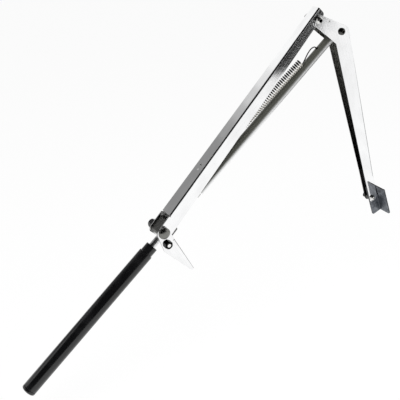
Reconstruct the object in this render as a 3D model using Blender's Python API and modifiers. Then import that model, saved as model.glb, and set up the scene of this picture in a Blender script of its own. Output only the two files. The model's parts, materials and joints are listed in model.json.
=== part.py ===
"""Automatic greenhouse vent opener: a wax cylinder pushes a two-armed steel lever open.

A tapered base channel carries the black wax cylinder at its lower end. The cylinder's piston
pushes a tube that turns the lift arm about the knee bolt, and a long spring pulls it shut again.
A frame bracket at the foot and a window bracket on the lift arm fasten it to the greenhouse.
Metres, +Z up. The arms lie in a plane of constant Y, and the viewer's side is -Y.
"""
import math

import bmesh
import bpy
from mathutils import Vector

MM = 0.001
GAP = 0.3 * MM                 # clearance kept between touching pieces

# Pose of the arms, in degrees
BASE_RISE = 47.2               # base channel above the horizon
FOLD = 112.2                   # lift arm turned back from the line of the base channel
AXIS_TILT = 5.7                # push line leans away from the base channel
LEAF_DROP = 60.7               # frame bracket's leaf below the horizon
WINDOW_TURN = 3.0              # window bracket against the lift arm

# Base channel, measured from the foot pivot: x up the channel, z towards its web
SHEET, BEND = 1.5 * MM, 2.2 * MM
WEB_FACE = 8.0 * MM
WEB_START, WEB_END = 25.5 * MM, 402.5 * MM
EAR_END = -11.0 * MM
BASE_WIDTH_FOOT, BASE_WIDTH_TAPER = 25.3 * MM, 0.0195
BASE_DEPTH_FOOT, BASE_DEPTH_TAPER = 23.5 * MM, 0.0213
KNEE = (388.2 * MM, -2.6 * MM)
SPRING_HOLES = (105.5 * MM, 113.5 * MM)

# Lift arm, measured from the knee: x along the arm, z towards its web
PUSH_PIN = (38.7 * MM, 32.6 * MM)
LIFT_LENGTH = 358.7 * MM
LIFT_WIDTH_KNEE, LIFT_WIDTH_TAPER = 23.5 * MM, 0.0288
LIFT_WEB = (56.0 * MM, 318.0 * MM)
LIFT_SMALL_HOLE = (12.0 * MM, 16.9 * MM)

# Push tube, piston and cylinder: distances down the push line from the push pin
TUBE_OUTER, TUBE_WALL = 14.0 * MM, 1.2 * MM
TUBE_TOP, TUBE_END = -7.0 * MM, 325.0 * MM
HOOK_HOLE = 43.3 * MM
ROD_DIAMETER = 8.0 * MM
ROD_END = 512.0 * MM
CAP_GAP = 1.0 * MM             # play between thrust cap and push plug
NIPPLE_TOP = 380.0 * MM
NIPPLE_DIAMETER, NIPPLE_BORE = 11.4 * MM, 8.8 * MM
RECEIVER_TOP, RECEIVER_END = 388.0 * MM, 415.0 * MM
NECK_TOP, SHOULDER, CYLINDER_END = 433.0 * MM, 446.5 * MM, 714.0 * MM
NECK_DIAMETER, CYLINDER_DIAMETER, CYLINDER_BORE = 19.0 * MM, 22.0 * MM, 18.0 * MM
WAX_TOP = 566.0 * MM

# Return spring
SPRING_FOOT = (132.5 * MM, 0.0, -3.7 * MM)
SPRING_HEAD = (326.9 * MM, -5.35 * MM, -26.2 * MM)
SPRING_OUTER, SPRING_WIRE = 12.0 * MM, 1.8 * MM
SPRING_TURNS, POINTS_PER_TURN = 53.5, 9

# Brackets
BRACKET_SHEET, BRACKET_BEND = 2.0 * MM, 2.5 * MM
LEAF_FACE, LEAF_ROOT, LEAF_TIP = 8.3 * MM, 21.0 * MM, 89.0 * MM
FRAME_FLANGE_Y, LEAF_FAR_Y = -16.2 * MM, 2.0 * MM
LOCK_BOLT = (19.6 * MM, -5.0 * MM)
LEAF_HOLES = (36.0 * MM, 74.0 * MM)
WINDOW_FACE, WINDOW_TOP, WINDOW_FOOT = 14.4 * MM, -18.0 * MM, 37.0 * MM
WINDOW_LEAF_Y, WINDOW_REACH_Y = -2.7 * MM, -28.0 * MM
WINDOW_EDGE, WINDOW_TAB = -5.5 * MM, -27.0 * MM
SCREW_HOLE = 5.0 * MM

# Fasteners
BOLT = 6.0 * MM
BOLT_HOLE = 6.6 * MM
HEAD_DIAMETER, HEAD_HEIGHT = 11.0 * MM, 4.6 * MM
NUT_ACROSS, NUT_HEIGHT = 10.0 * MM, 5.0 * MM

RELIEF = 3.5 * MM              # depth of the small cut where a bend ends beside an ear
ROUND_STEPS = 24
ARC_STEP = math.radians(22.5)


def clear_scene():
    for obj in list(bpy.data.objects):
        bpy.data.objects.remove(obj, do_unlink=True)


def new_collection(name):
    collection = bpy.data.collections.new(name)
    bpy.context.scene.collection.children.link(collection)
    return collection


def metal(name, colour, roughness, metallic=1.0):
    """A plain Principled material."""
    material = bpy.data.materials.new(name)
    material.use_nodes = True
    shader = material.node_tree.nodes["Principled BSDF"]
    shader.inputs["Base Color"].default_value = (*colour, 1.0)
    shader.inputs["Roughness"].default_value = roughness
    shader.inputs["Metallic"].default_value = metallic
    return material


def frame(name, parent, place, turn):
    """An empty on a pivot: place is (x, z) or (x, y, z), turn is degrees about Y."""
    empty = bpy.data.objects.new(name, None)
    parts.objects.link(empty)
    empty.parent = parent
    x, y, z = place if len(place) == 3 else (place[0], 0.0, place[1])
    empty.location = (x, y, z)
    empty.rotation_euler = (0.0, math.radians(turn), 0.0)
    empty.empty_display_size = 0.02
    return empty


def turned_point(point, degrees):
    """Where a point (x, z) of a frame turned about Y lands in its parent."""
    c, s = math.cos(math.radians(degrees)), math.sin(math.radians(degrees))
    return point[0] * c + point[1] * s, -point[0] * s + point[1] * c


def add(name, mesh, parent, material, place=(0.0, 0.0, 0.0), turn=(0.0, 0.0, 0.0)):
    obj = bpy.data.objects.new(name, mesh)
    parts.objects.link(obj)
    obj.parent = parent
    obj.location = place
    obj.rotation_euler = [math.radians(a) for a in turn]
    mesh.materials.append(material)
    return obj


def cutter(name, mesh, parent, place, turn):
    obj = bpy.data.objects.new(name, mesh)
    cutters.objects.link(obj)
    obj.parent = parent
    obj.location = place
    obj.rotation_euler = [math.radians(a) for a in turn]
    obj.hide_render = True
    obj.display_type = "WIRE"
    return obj


def cut(obj, tool):
    boolean = obj.modifiers.new(tool.name, "BOOLEAN")
    boolean.operation = "DIFFERENCE"
    boolean.solver = "EXACT"
    boolean.object = tool


def rod_mesh(name, diameter, length, sides=ROUND_STEPS):
    """A round or many-sided bar about local Z, centred on its middle."""
    bm = bmesh.new()
    bmesh.ops.create_cone(bm, cap_ends=True, segments=sides, radius1=diameter / 2,
                          radius2=diameter / 2, depth=length)
    mesh = bpy.data.meshes.new(name)
    bm.to_mesh(mesh)
    bm.free()
    return mesh


def hole(obj, frame_empty, place, diameter, depth=0.1, turn=(90.0, 0.0, 0.0)):
    """Drill obj: a round hole at place (x, y, z) of a frame, along Y unless turned."""
    name = f"{obj.name}_hole_{len(obj.modifiers)}"
    cut(obj, cutter(name, rod_mesh(name, diameter, depth), frame_empty, place, turn))


def turned(name, profile, parent, material, place, turn, closed=False, steps=ROUND_STEPS):
    """A turned piece: profile points (radius, height) run down the outer side."""
    mesh = bpy.data.meshes.new(name)
    count = len(profile)
    edges = [(i, i + 1) for i in range(count - 1)] + ([(count - 1, 0)] if closed else [])
    mesh.from_pydata([(r, 0.0, h) for r, h in profile], edges, [])
    obj = add(name, mesh, parent, material, place, turn)
    screw = obj.modifiers.new("turn", "SCREW")
    screw.axis = "Z"
    screw.angle = math.tau
    screw.steps = steps
    screw.render_steps = steps
    screw.use_merge_vertices = True
    screw.merge_threshold = 0.00001
    screw.use_smooth_shade = True
    return obj


def ring(name, outer, inner, low, high, parent, material, place, turn):
    """A plain turned sleeve, washer or tube between two heights."""
    loop = [(outer / 2, high), (outer / 2, low), (inner / 2, low), (inner / 2, high)]
    return turned(name, loop, parent, material, place, turn, closed=True)


def pan_bolt(name, parent, place, grip, material, head=HEAD_DIAMETER):
    """A round-headed bolt along Y. Its head seats at place, its shank runs back by grip."""
    round_top = [(head / 2 * math.sin(a), HEAD_HEIGHT * (0.35 + 0.65 * math.cos(a)))
                 for a in (0.0, math.radians(35), math.radians(65), math.radians(90))]
    profile = round_top + [(head / 2, 0.0), (BOLT / 2, 0.0), (BOLT / 2, -grip + 0.8 * MM),
                           (BOLT / 2 - 0.8 * MM, -grip), (0.0, -grip)]
    return turned(name, profile, parent, material, place, (90.0, 0.0, 0.0))


def hex_nut(name, parent, place, material, across=NUT_ACROSS, height=NUT_HEIGHT):
    """A hexagon nut along Y whose front face is at place."""
    mesh = rod_mesh(name, across / math.cos(math.radians(30)), height, sides=6)
    x, y, z = place
    obj = add(name, mesh, parent, material, (x, y + height / 2, z), (90.0, 0.0, 0.0))
    hole(obj, parent, (x, y, z), BOLT + 2 * GAP, 4 * height)
    return obj


def rounded(corners):
    """A closed outline from (x, z, radius) corners, each corner an arc of that radius."""
    outline = []
    count = len(corners)
    for i, (x, z, radius) in enumerate(corners):
        here = Vector((x, z))
        before = (Vector(corners[i - 1][:2]) - here).normalized()
        after = (Vector(corners[(i + 1) % count][:2]) - here).normalized()
        if radius <= 0.0:
            outline.append((x, z))
            continue
        half = before.angle(after) / 2
        centre = here + (before + after).normalized() * (radius / math.sin(half))
        first = here + before * (radius / math.tan(half)) - centre
        last = here + after * (radius / math.tan(half)) - centre
        sweep = first.angle_signed(last)
        steps = max(2, math.ceil(abs(sweep) / ARC_STEP))
        start = math.atan2(first.y, first.x)
        for k in range(steps + 1):
            a = start - sweep * k / steps
            outline.append((centre.x + radius * math.cos(a), centre.y + radius * math.sin(a)))
    return outline


def relief(x, z, side):
    """Corners of the cut at the end of a bend. The ear goes on at that side, -1 or 1."""
    return [(x, z, 0), (x, z - RELIEF, 0), (x + side * RELIEF / 2, z, 0)]


def folded_sheet(name, faces, thickness, bend, parent, material):
    """Bent sheet metal: faces are lists of (x, y, z) that meet along shared points.

    The listed faces are the outer skin. Solidify adds the thickness inwards, and the bends are
    rounded first, so that the sheet keeps one thickness round them.
    """
    bm = bmesh.new()
    for points in faces:
        bm.faces.new([bm.verts.new(p) for p in points])
    bmesh.ops.remove_doubles(bm, verts=bm.verts, dist=0.00001)
    mesh = bpy.data.meshes.new(name)
    bm.to_mesh(mesh)
    bm.free()
    obj = add(name, mesh, parent, material)
    bevel = obj.modifiers.new("bends", "BEVEL")
    bevel.width = bend
    bevel.segments = 3
    bevel.use_clamp_overlap = False
    bevel.limit_method = "ANGLE"
    bevel.angle_limit = math.radians(60)
    solid = obj.modifiers.new("sheet", "SOLIDIFY")
    solid.thickness = thickness
    solid.offset = -1.0
    solid.use_even_offset = True
    return obj


def channel(name, outline, web_ends, half_width, parent, material):
    """A tapered U channel: two flanges of one outline, joined by a web along its upper edge."""
    front = [(x, -half_width(x), z) for x, z in outline]
    back = [(x, half_width(x), z) for x, z in reversed(outline)]
    (x0, z0), (x1, z1) = web_ends
    web = [(x0, -half_width(x0), z0), (x1, -half_width(x1), z1),
           (x1, half_width(x1), z1), (x0, half_width(x0), z0)]
    return folded_sheet(name, [front, back, web], SHEET, BEND, parent, material)


def base_half_width(x):
    return (BASE_WIDTH_FOOT - BASE_WIDTH_TAPER * x) / 2


def lift_half_width(x):
    return (LIFT_WIDTH_KNEE - LIFT_WIDTH_TAPER * x) / 2


def make_base_channel():
    def lower_edge(x):
        return WEB_FACE - (BASE_DEPTH_FOOT - BASE_DEPTH_TAPER * x)

    outline = rounded([(EAR_END, lower_edge(EAR_END), 7 * MM),
                       (WEB_END, lower_edge(WEB_END), 5 * MM),
                       (WEB_END, WEB_FACE, 0), *relief(WEB_START, WEB_FACE, -1),
                       (EAR_END, WEB_FACE, 6 * MM)])
    obj = channel("base_channel", outline, [(WEB_START, WEB_FACE), (WEB_END, WEB_FACE)],
                  base_half_width, base, zinc)
    hole(obj, base, (0.0, 0.0, 0.0), BOLT_HOLE)
    hole(obj, base, (KNEE[0], 0.0, KNEE[1]), BOLT_HOLE)
    for x in SPRING_HOLES:
        hole(obj, base, (x, 0.0, WEB_FACE), 3.2 * MM, 0.012, turn=(0.0, 0.0, 0.0))


def make_receiver():
    """Block between the ears: the foot bolt crosses it and the nipple screws through it."""
    width = 2 * (base_half_width(20 * MM) - SHEET - GAP) - 1.0 * MM
    outline = rounded([(-8 * MM, -19.5 * MM, 3 * MM), (17 * MM, -20.5 * MM, 3 * MM),
                       (17 * MM, 5.5 * MM, 3 * MM), (-8 * MM, 5.5 * MM, 5 * MM)])
    curve = bpy.data.curves.new("receiver_outline", "CURVE")
    curve.dimensions = "2D"
    curve.fill_mode = "BOTH"
    curve.extrude = width / 2
    spline = curve.splines.new("POLY")
    spline.points.add(len(outline) - 1)
    for point, (x, z) in zip(spline.points, outline):
        point.co = (x, z, 0.0, 1.0)
    spline.use_cyclic_u = True
    holder = bpy.data.objects.new("receiver_outline", curve)
    parts.objects.link(holder)
    bpy.context.view_layer.update()
    solid = holder.evaluated_get(bpy.context.evaluated_depsgraph_get())
    mesh = bpy.data.meshes.new_from_object(solid)
    bpy.data.objects.remove(holder, do_unlink=True)
    bm = bmesh.new()
    bm.from_mesh(mesh)
    bmesh.ops.remove_doubles(bm, verts=bm.verts, dist=0.00001)
    bm.to_mesh(mesh)
    bm.free()
    mesh.name = "cylinder_receiver"
    mesh.materials.clear()
    obj = add("cylinder_receiver", mesh, base, cast, turn=(90.0, 0.0, 0.0))
    hole(obj, base, (0.0, 0.0, 0.0), BOLT_HOLE)
    middle = (RECEIVER_TOP + RECEIVER_END) / 2
    hole(obj, push_line, (middle, 0.0, 0.0), NIPPLE_DIAMETER + 2 * GAP, 0.08, (0.0, 90.0, 0.0))


def along_line(name, loop, material, closed=True):
    """A turned piece on the push line: its heights are distances down the line."""
    return turned(name, loop, push_line, material, (0.0, 0.0, 0.0), (0.0, 90.0, 0.0), closed)


def make_cylinder():
    rim = 1.2 * MM
    outer, bore = CYLINDER_DIAMETER / 2, CYLINDER_BORE / 2
    along_line("cylinder_tube", [
        (outer, CYLINDER_END - 6 * MM), (outer, SHOULDER + rim), (outer - rim, SHOULDER),
        (bore, SHOULDER), (bore, CYLINDER_END - 6 * MM)], black)
    plug = bore - GAP
    along_line("cylinder_end_plug", [
        (0.0, CYLINDER_END), (outer - 2.5 * MM, CYLINDER_END), (outer, CYLINDER_END - 2.5 * MM),
        (outer, CYLINDER_END - 6 * MM + GAP), (plug, CYLINDER_END - 6 * MM + GAP),
        (plug, CYLINDER_END - 16 * MM), (0.0, CYLINDER_END - 16 * MM)], black, closed=False)
    neck = NECK_DIAMETER / 2
    seat = NIPPLE_DIAMETER / 2 + GAP
    along_line("cylinder_neck", [
        (plug, SHOULDER + 14 * MM), (plug, SHOULDER - GAP), (neck, SHOULDER - GAP),
        (neck, NECK_TOP + rim), (neck - rim, NECK_TOP), (seat, NECK_TOP),
        (seat, SHOULDER + 14 * MM)], black)
    pipe = NIPPLE_DIAMETER / 2
    along_line("threaded_nipple", [
        (pipe, SHOULDER + 12 * MM), (pipe, NIPPLE_TOP + 0.8 * MM), (pipe - 0.8 * MM, NIPPLE_TOP),
        (NIPPLE_BORE / 2, NIPPLE_TOP), (NIPPLE_BORE / 2, SHOULDER + 12 * MM)], zinc)
    ring("gland_seal", CYLINDER_BORE - 2 * GAP, NIPPLE_BORE, SHOULDER + 14 * MM + GAP,
         SHOULDER + 18 * MM, push_line, rubber, (0.0, 0.0, 0.0), (0.0, 90.0, 0.0))
    along_line("wax_charge", [
        (0.0, CYLINDER_END - 16 * MM - GAP), (plug, CYLINDER_END - 16 * MM - GAP),
        (plug, WAX_TOP), (0.0, WAX_TOP)], wax, closed=False)
    nut = rod_mesh("lock_nut", 17.0 * MM / math.cos(math.radians(30)), 6 * MM, sides=6)
    place = (RECEIVER_TOP - 4.0 * MM, 0.0, 0.0)
    lock_nut = add("lock_nut", nut, push_line, zinc, place, (0.0, 90.0, 0.0))
    hole(lock_nut, push_line, place, NIPPLE_DIAMETER + 2 * GAP, 0.03, (0.0, 90.0, 0.0))


def make_piston():
    """The plunger and the cap on its tip that bears on the push tube's plug."""
    radius = ROD_DIAMETER / 2
    tip = TUBE_END + 9 * MM
    along_line("piston_rod", [
        (0.0, ROD_END), (radius - MM, ROD_END), (radius, ROD_END - MM), (radius, tip),
        (0.0, tip)], steel, closed=False)
    cap = 5.5 * MM
    top = TUBE_END + CAP_GAP
    along_line("thrust_cap", [
        (0.0, tip - GAP), (cap, tip - GAP), (cap, top + 2 * MM), (cap * 0.7, top + 0.6 * MM),
        (0.0, top)], steel, closed=False)


def make_push_tube():
    outer = TUBE_OUTER / 2
    bore = outer - TUBE_WALL
    frame_of = push
    loop = [(outer, TUBE_END), (outer, TUBE_TOP + MM), (outer - MM, TUBE_TOP), (bore, TUBE_TOP),
            (bore, TUBE_END)]
    tube = turned("push_tube", loop, frame_of, zinc, (0.0, 0.0, 0.0), (0.0, 90.0, 0.0), True)
    hole(tube, frame_of, (0.0, 0.0, 0.0), BOLT_HOLE, 0.03)
    hole(tube, frame_of, (HOOK_HOLE, 0.0, -outer), 5.0 * MM, 0.006, (0.0, 0.0, 0.0))
    plug = bore - GAP
    turned("push_plug", [(0.0, TUBE_END), (plug, TUBE_END), (plug, TUBE_END - 14 * MM),
                         (0.0, TUBE_END - 14 * MM)], frame_of, steel, (0.0, 0.0, 0.0),
           (0.0, 90.0, 0.0))
    inner = lift_half_width(PUSH_PIN[0]) - SHEET
    for side, name in ((-1, "push_spacer_front"), (1, "push_spacer_back")):
        near, far = outer + GAP, inner - GAP
        ring(name, 11 * MM, BOLT_HOLE, -(far - near) / 2, (far - near) / 2, frame_of, zinc,
             (0.0, side * (near + far) / 2, 0.0), (90.0, 0.0, 0.0))


def make_lift_channel():
    """The lift arm: its flanges run out at the knee into ears that straddle the base channel."""
    web_start, web_end = LIFT_WEB

    def back_edge(x):
        return 45.8 * MM - 0.1162 * (x - 56.0 * MM)

    foot = LIFT_LENGTH + 8.5 * MM
    outline = rounded([
        (-9.0 * MM, 2.6 * MM, 8.5 * MM), (2.0 * MM, -10.2 * MM, 8 * MM),
        (52.9 * MM, 18.1 * MM, 4 * MM), (foot, -6.4 * MM, 7 * MM), (foot, 9.2 * MM, 7 * MM),
        *reversed(relief(web_end, back_edge(web_end), 1)),
        *relief(web_start, back_edge(web_start), -1), (38.0 * MM, 46.5 * MM, 12 * MM)])
    obj = channel("lift_channel", outline,
                  [(web_end, back_edge(web_end)), (web_start, back_edge(web_start))][::-1],
                  lift_half_width, lift, zinc)
    hole(obj, lift, (0.0, 0.0, 0.0), BOLT_HOLE)
    hole(obj, lift, (PUSH_PIN[0], 0.0, PUSH_PIN[1]), BOLT_HOLE)
    hole(obj, lift, (LIFT_LENGTH, 0.0, 0.0), BOLT_HOLE)
    hole(obj, lift, (LIFT_SMALL_HOLE[0], 0.0, LIFT_SMALL_HOLE[1]), 3.0 * MM)


def make_knee():
    """Bolts at the knee and the push pin, with their washers, sleeve and nuts."""
    for name, point in (("knee", (0.0, 0.0)), ("push_pin", PUSH_PIN)):
        side = lift_half_width(point[0])
        pan_bolt(f"{name}_bolt", lift, (point[0], -side - GAP, point[1]), 2 * side + 8 * MM, steel)
        hex_nut(f"{name}_nut", lift, (point[0], side + GAP, point[1]), steel)
    outer = base_half_width(KNEE[0])
    inner = lift_half_width(0.0) - SHEET
    for side, name in ((-1, "knee_washer_front"), (1, "knee_washer_back")):
        thickness = inner - outer - 2 * GAP
        ring(name, 12 * MM, BOLT_HOLE, -thickness / 2, thickness / 2, lift, zinc,
             (0.0, side * (inner + outer) / 2, 0.0), (90.0, 0.0, 0.0))
    half = outer - SHEET - GAP - 0.3 * MM
    ring("knee_sleeve", 9 * MM, BOLT_HOLE, -half, half, lift, zinc, (0.0, 0.0, 0.0), (90.0, 0.0, 0.0))


def make_foot_pivot():
    """The bolt that the base channel swings on, with the washer that holds the bracket off it."""
    side = base_half_width(0.0)
    flange_back = FRAME_FLANGE_Y + BRACKET_SHEET
    seat = FRAME_FLANGE_Y - GAP
    pan_bolt("foot_bolt", base, (0.0, seat, 0.0), side - seat + 11 * MM, steel, head=18 * MM)
    hex_nut("foot_nut", base, (0.0, side + GAP, 0.0), black_steel, across=13 * MM, height=12 * MM)
    near, far = side + GAP, -flange_back - GAP
    ring("foot_spacer", 14 * MM, BOLT_HOLE, -(far - near) / 2, (far - near) / 2, base, zinc,
         (0.0, -(near + far) / 2, 0.0), (90.0, 0.0, 0.0))


def make_frame_bracket():
    """A bent angle: a tapered flange that turns on the foot bolt and a leaf for two screws."""
    y, far = FRAME_FLANGE_Y, LEAF_FAR_Y
    outline = rounded([(-9.5 * MM, LEAF_FACE, 8 * MM), (-9.5 * MM, -9.5 * MM, 8 * MM),
                       (27 * MM, -15.5 * MM, 8 * MM), (LEAF_TIP, 3.5 * MM, 2 * MM),
                       (LEAF_TIP, LEAF_FACE, 0), *relief(LEAF_ROOT, LEAF_FACE, -1)])
    flange = [(x, y, z) for x, z in outline]
    leaf = [(LEAF_ROOT, y, LEAF_FACE), (LEAF_TIP, y, LEAF_FACE), (LEAF_TIP, far, LEAF_FACE),
            (LEAF_ROOT, far, LEAF_FACE)]
    obj = folded_sheet("frame_bracket", [flange, leaf], BRACKET_SHEET, BRACKET_BEND, bracket, zinc)
    hole(obj, bracket, (0.0, y, 0.0), BOLT_HOLE, 0.012)
    hole(obj, bracket, (LOCK_BOLT[0], y, LOCK_BOLT[1]), BOLT_HOLE, 0.012)
    for x in LEAF_HOLES:
        hole(obj, bracket, (x, (y + far) / 2, LEAF_FACE), SCREW_HOLE, 0.02, (0.0, 0.0, 0.0))
    head = rod_mesh("lock_bolt", 11.5 * MM / math.cos(math.radians(30)), 5 * MM, sides=6)
    place = (LOCK_BOLT[0], y - GAP - 2.5 * MM, LOCK_BOLT[1])
    lock = add("lock_bolt", head, bracket, steel, place, (90.0, 0.0, 0.0))
    shank = cutter("lock_bolt_shank", rod_mesh("lock_bolt_shank", BOLT, 6 * MM), bracket,
                   (LOCK_BOLT[0], y - 0.4 * MM, LOCK_BOLT[1]), (90.0, 0.0, 0.0))
    union = lock.modifiers.new("shank", "BOOLEAN")
    union.operation = "UNION"
    union.object = shank


def make_window_bracket():
    """A bent angle inside the lift arm's end: its wide leaf screws to the window."""
    y, far = WINDOW_LEAF_Y, WINDOW_REACH_Y
    outline = rounded([(WINDOW_TAB, WINDOW_EDGE, 3 * MM), (WINDOW_FOOT, WINDOW_EDGE, 3 * MM),
                       (WINDOW_FOOT, WINDOW_FACE, 0), (WINDOW_TOP, WINDOW_FACE, 0),
                       (WINDOW_TAB, 5 * MM, 3 * MM)])
    small = [(x, y, z) for x, z in reversed(outline)]
    corner = 4 * MM
    leaf = [(WINDOW_TOP, y, WINDOW_FACE), (WINDOW_TOP, far, WINDOW_FACE),
            (WINDOW_FOOT - corner, far, WINDOW_FACE), (WINDOW_FOOT, far + corner, WINDOW_FACE),
            (WINDOW_FOOT, y, WINDOW_FACE)]
    obj = folded_sheet("window_bracket", [small, leaf], BRACKET_SHEET, BRACKET_BEND, window, dark_steel)
    hole(obj, window, (0.0, y, 0.0), BOLT_HOLE, 0.012)
    side = lift_half_width(LIFT_LENGTH)
    end = (LIFT_LENGTH, -side - GAP, 0.0)
    pan_bolt("window_bolt", lift, end, 2 * side + 8 * MM, steel, head=10 * MM)
    hex_nut("window_nut", lift, (LIFT_LENGTH, side + GAP, 0.0), steel)
    near, far_face = WINDOW_LEAF_Y + GAP, side - SHEET - GAP
    ring("window_spacer", 10 * MM, BOLT_HOLE, -(far_face - near) / 2, (far_face - near) / 2, lift,
         zinc, (LIFT_LENGTH, (near + far_face) / 2, 0.0), (90.0, 0.0, 0.0))


def least_gap(path, wire, skip):
    """Smallest clear distance between stretches of a wire that aren't neighbours."""
    best = 1.0
    for i, p in enumerate(path):
        for q in path[i + skip:i + 4 * skip]:
            best = min(best, (p - q).length)
    return best - wire


def make_spring():
    """One wire: lower hook through the base channel's web, close coils, upper hook into the tube."""
    foot = Vector(SPRING_FOOT)
    head = Vector(SPRING_HEAD)
    line = (head - foot).normalized()
    up = Vector((0.0, 1.0, 0.0)).cross(line).normalized()
    up *= math.copysign(1.0, up.z)
    side = line.cross(up)
    side *= math.copysign(1.0, side.y)
    radius = (SPRING_OUTER - SPRING_WIRE) / 2
    lower = [(SPRING_HOLES[1], WEB_FACE + 0.4 * MM), (SPRING_HOLES[1], 5.0 * MM),
             (115.2 * MM, 2.6 * MM), (118.5 * MM, 1.6 * MM), (124.0 * MM, 1.4 * MM)]
    upper = [(334.4, -5.35, -29.8), (343.9, -3.8, -28.8), (352.8, -2.3, -29.6), (358.3, -0.8, -32.8),
             (360.9, 0.0, -36.5), (361.3, 0.0, -45.0)]
    path = [Vector((x, 0.0, z)) for x, z in lower]
    count = round(SPRING_TURNS * POINTS_PER_TURN)
    for i in range(count + 1):
        t = i / count
        a = math.tau * SPRING_TURNS * t
        path.append(foot.lerp(head, t) + radius * (math.cos(a) * up + math.sin(a) * side))
    path += [Vector(spot) * MM for spot in upper]
    gap = least_gap(path, SPRING_WIRE, POINTS_PER_TURN - 2)
    print(f"return_spring: {SPRING_TURNS} turns, least gap to itself {gap / MM:.2f} mm")
    curve = bpy.data.curves.new("return_spring", "CURVE")
    curve.dimensions = "3D"
    curve.bevel_depth = SPRING_WIRE / 2
    curve.bevel_resolution = 1
    curve.use_fill_caps = True
    spline = curve.splines.new("POLY")
    spline.points.add(len(path) - 1)
    for point, p in zip(spline.points, path):
        point.co = (*p, 1.0)
    add("return_spring", curve, base, spring_steel)


clear_scene()
parts = new_collection("vent_opener")
cutters = new_collection("cutters")

zinc = metal("bright_zinc", (0.78, 0.79, 0.80), 0.28)
steel = metal("bolt_steel", (0.55, 0.55, 0.55), 0.32)
black_steel = metal("blackened_steel", (0.05, 0.05, 0.05), 0.45)
dark_steel = metal("dull_steel", (0.20, 0.21, 0.22), 0.45)
spring_steel = metal("spring_steel", (0.32, 0.30, 0.27), 0.35)
cast = metal("cast_zinc", (0.45, 0.45, 0.44), 0.5)
black = metal("black_lacquer", (0.012, 0.012, 0.014), 0.22, 0.0)
rubber = metal("seal_rubber", (0.02, 0.02, 0.02), 0.7, 0.0)
wax = metal("wax", (0.75, 0.68, 0.5), 0.5, 0.0)

# The origin is the middle of the frame bracket's screwed face
leaf_middle = ((LEAF_ROOT + LEAF_TIP) / 2, LEAF_FACE)
leaf_middle_y = (FRAME_FLANGE_Y + LEAF_FAR_Y) / 2
foot_x, foot_z = turned_point(leaf_middle, LEAF_DROP)
foot = frame("foot_pivot", None, (-foot_x, -leaf_middle_y, -foot_z), 0.0)
bracket = frame("frame_bracket_axis", foot, (0.0, 0.0), LEAF_DROP)
base = frame("base_axis", foot, (0.0, 0.0), -BASE_RISE)
lift = frame("knee_axis", base, KNEE, FOLD)
window = frame("window_axis", lift, (LIFT_LENGTH, 0.0), WINDOW_TURN)
pin_x, pin_z = turned_point(PUSH_PIN, FOLD)
pin_on_base = (KNEE[0] + pin_x, KNEE[1] + pin_z)
push_line = frame("push_line", base, pin_on_base, 180.0 + AXIS_TILT)
push = frame("push_pin_axis", lift, PUSH_PIN, 180.0 + AXIS_TILT - FOLD)

make_base_channel()
make_receiver()
make_foot_pivot()
make_frame_bracket()
make_cylinder()
make_piston()
make_push_tube()
make_lift_channel()
make_knee()
make_window_bracket()
make_spring()
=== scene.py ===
# %% [markdown]
# # A greenhouse vent opener
# A black cylinder full of wax pushes a bright steel linkage open when the day is warm, and a long
# spring folds it shut again. The CAD model already has every piece in its place. This lesson loads
# it as a frame, makes each piece again with soft edges and real finishes, and lights it.

# %% Load the frame
import json
import math

import bmesh
import bpy
from mathutils import Matrix, Vector

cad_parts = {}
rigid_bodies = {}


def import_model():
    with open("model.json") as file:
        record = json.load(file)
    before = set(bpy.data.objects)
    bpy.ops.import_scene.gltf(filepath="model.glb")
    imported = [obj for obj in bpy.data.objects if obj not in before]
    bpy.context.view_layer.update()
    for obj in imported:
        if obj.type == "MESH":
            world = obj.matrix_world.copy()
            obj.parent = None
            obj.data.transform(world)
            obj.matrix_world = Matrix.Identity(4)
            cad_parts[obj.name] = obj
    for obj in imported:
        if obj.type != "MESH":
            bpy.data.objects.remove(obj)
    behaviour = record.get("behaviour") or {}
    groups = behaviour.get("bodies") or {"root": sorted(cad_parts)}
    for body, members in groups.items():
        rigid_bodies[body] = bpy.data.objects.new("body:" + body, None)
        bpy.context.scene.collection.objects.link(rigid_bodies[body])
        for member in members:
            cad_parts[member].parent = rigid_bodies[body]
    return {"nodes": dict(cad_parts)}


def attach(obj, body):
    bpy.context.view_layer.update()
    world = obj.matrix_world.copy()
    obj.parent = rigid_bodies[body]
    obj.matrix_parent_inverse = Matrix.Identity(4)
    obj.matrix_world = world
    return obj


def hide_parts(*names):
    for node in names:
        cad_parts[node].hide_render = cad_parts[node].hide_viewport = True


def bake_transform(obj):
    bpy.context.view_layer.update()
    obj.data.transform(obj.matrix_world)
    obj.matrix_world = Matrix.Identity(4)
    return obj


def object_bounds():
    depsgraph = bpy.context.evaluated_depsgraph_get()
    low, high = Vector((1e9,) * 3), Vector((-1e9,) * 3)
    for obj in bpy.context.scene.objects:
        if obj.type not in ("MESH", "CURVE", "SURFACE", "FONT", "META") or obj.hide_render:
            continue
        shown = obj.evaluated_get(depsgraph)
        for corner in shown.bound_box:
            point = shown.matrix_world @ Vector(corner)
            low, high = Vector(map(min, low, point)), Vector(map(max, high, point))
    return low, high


for leftover in list(bpy.data.objects):
    bpy.data.objects.remove(leftover)
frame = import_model()
scene = bpy.context.scene
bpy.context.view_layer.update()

# %% [markdown]
# ## Camera
# The arms lie in one upright plane, so their edges in the photograph give the viewing angle: 30
# degrees round to the left and 25 degrees above. A lens of 65 mm on a 36 mm frame fits the way the
# far pieces shrink. A camera placed by eye would do for a look, but solved numbers put every edge
# where it was seen.

# %% Camera
camera_data = bpy.data.cameras.new("camera")
camera_data.lens = 64.8
camera_data.sensor_width = 36.0
camera = bpy.data.objects.new("camera", camera_data)
camera.location = (-0.4578, -0.8477, 0.5356)
camera.rotation_euler = (math.radians(65.0), 0.0, math.radians(-30.0))
scene.collection.objects.link(camera)
scene.camera = camera
scene.view_settings.view_transform = "Standard"
print("camera at", [round(v, 3) for v in camera.location])

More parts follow.
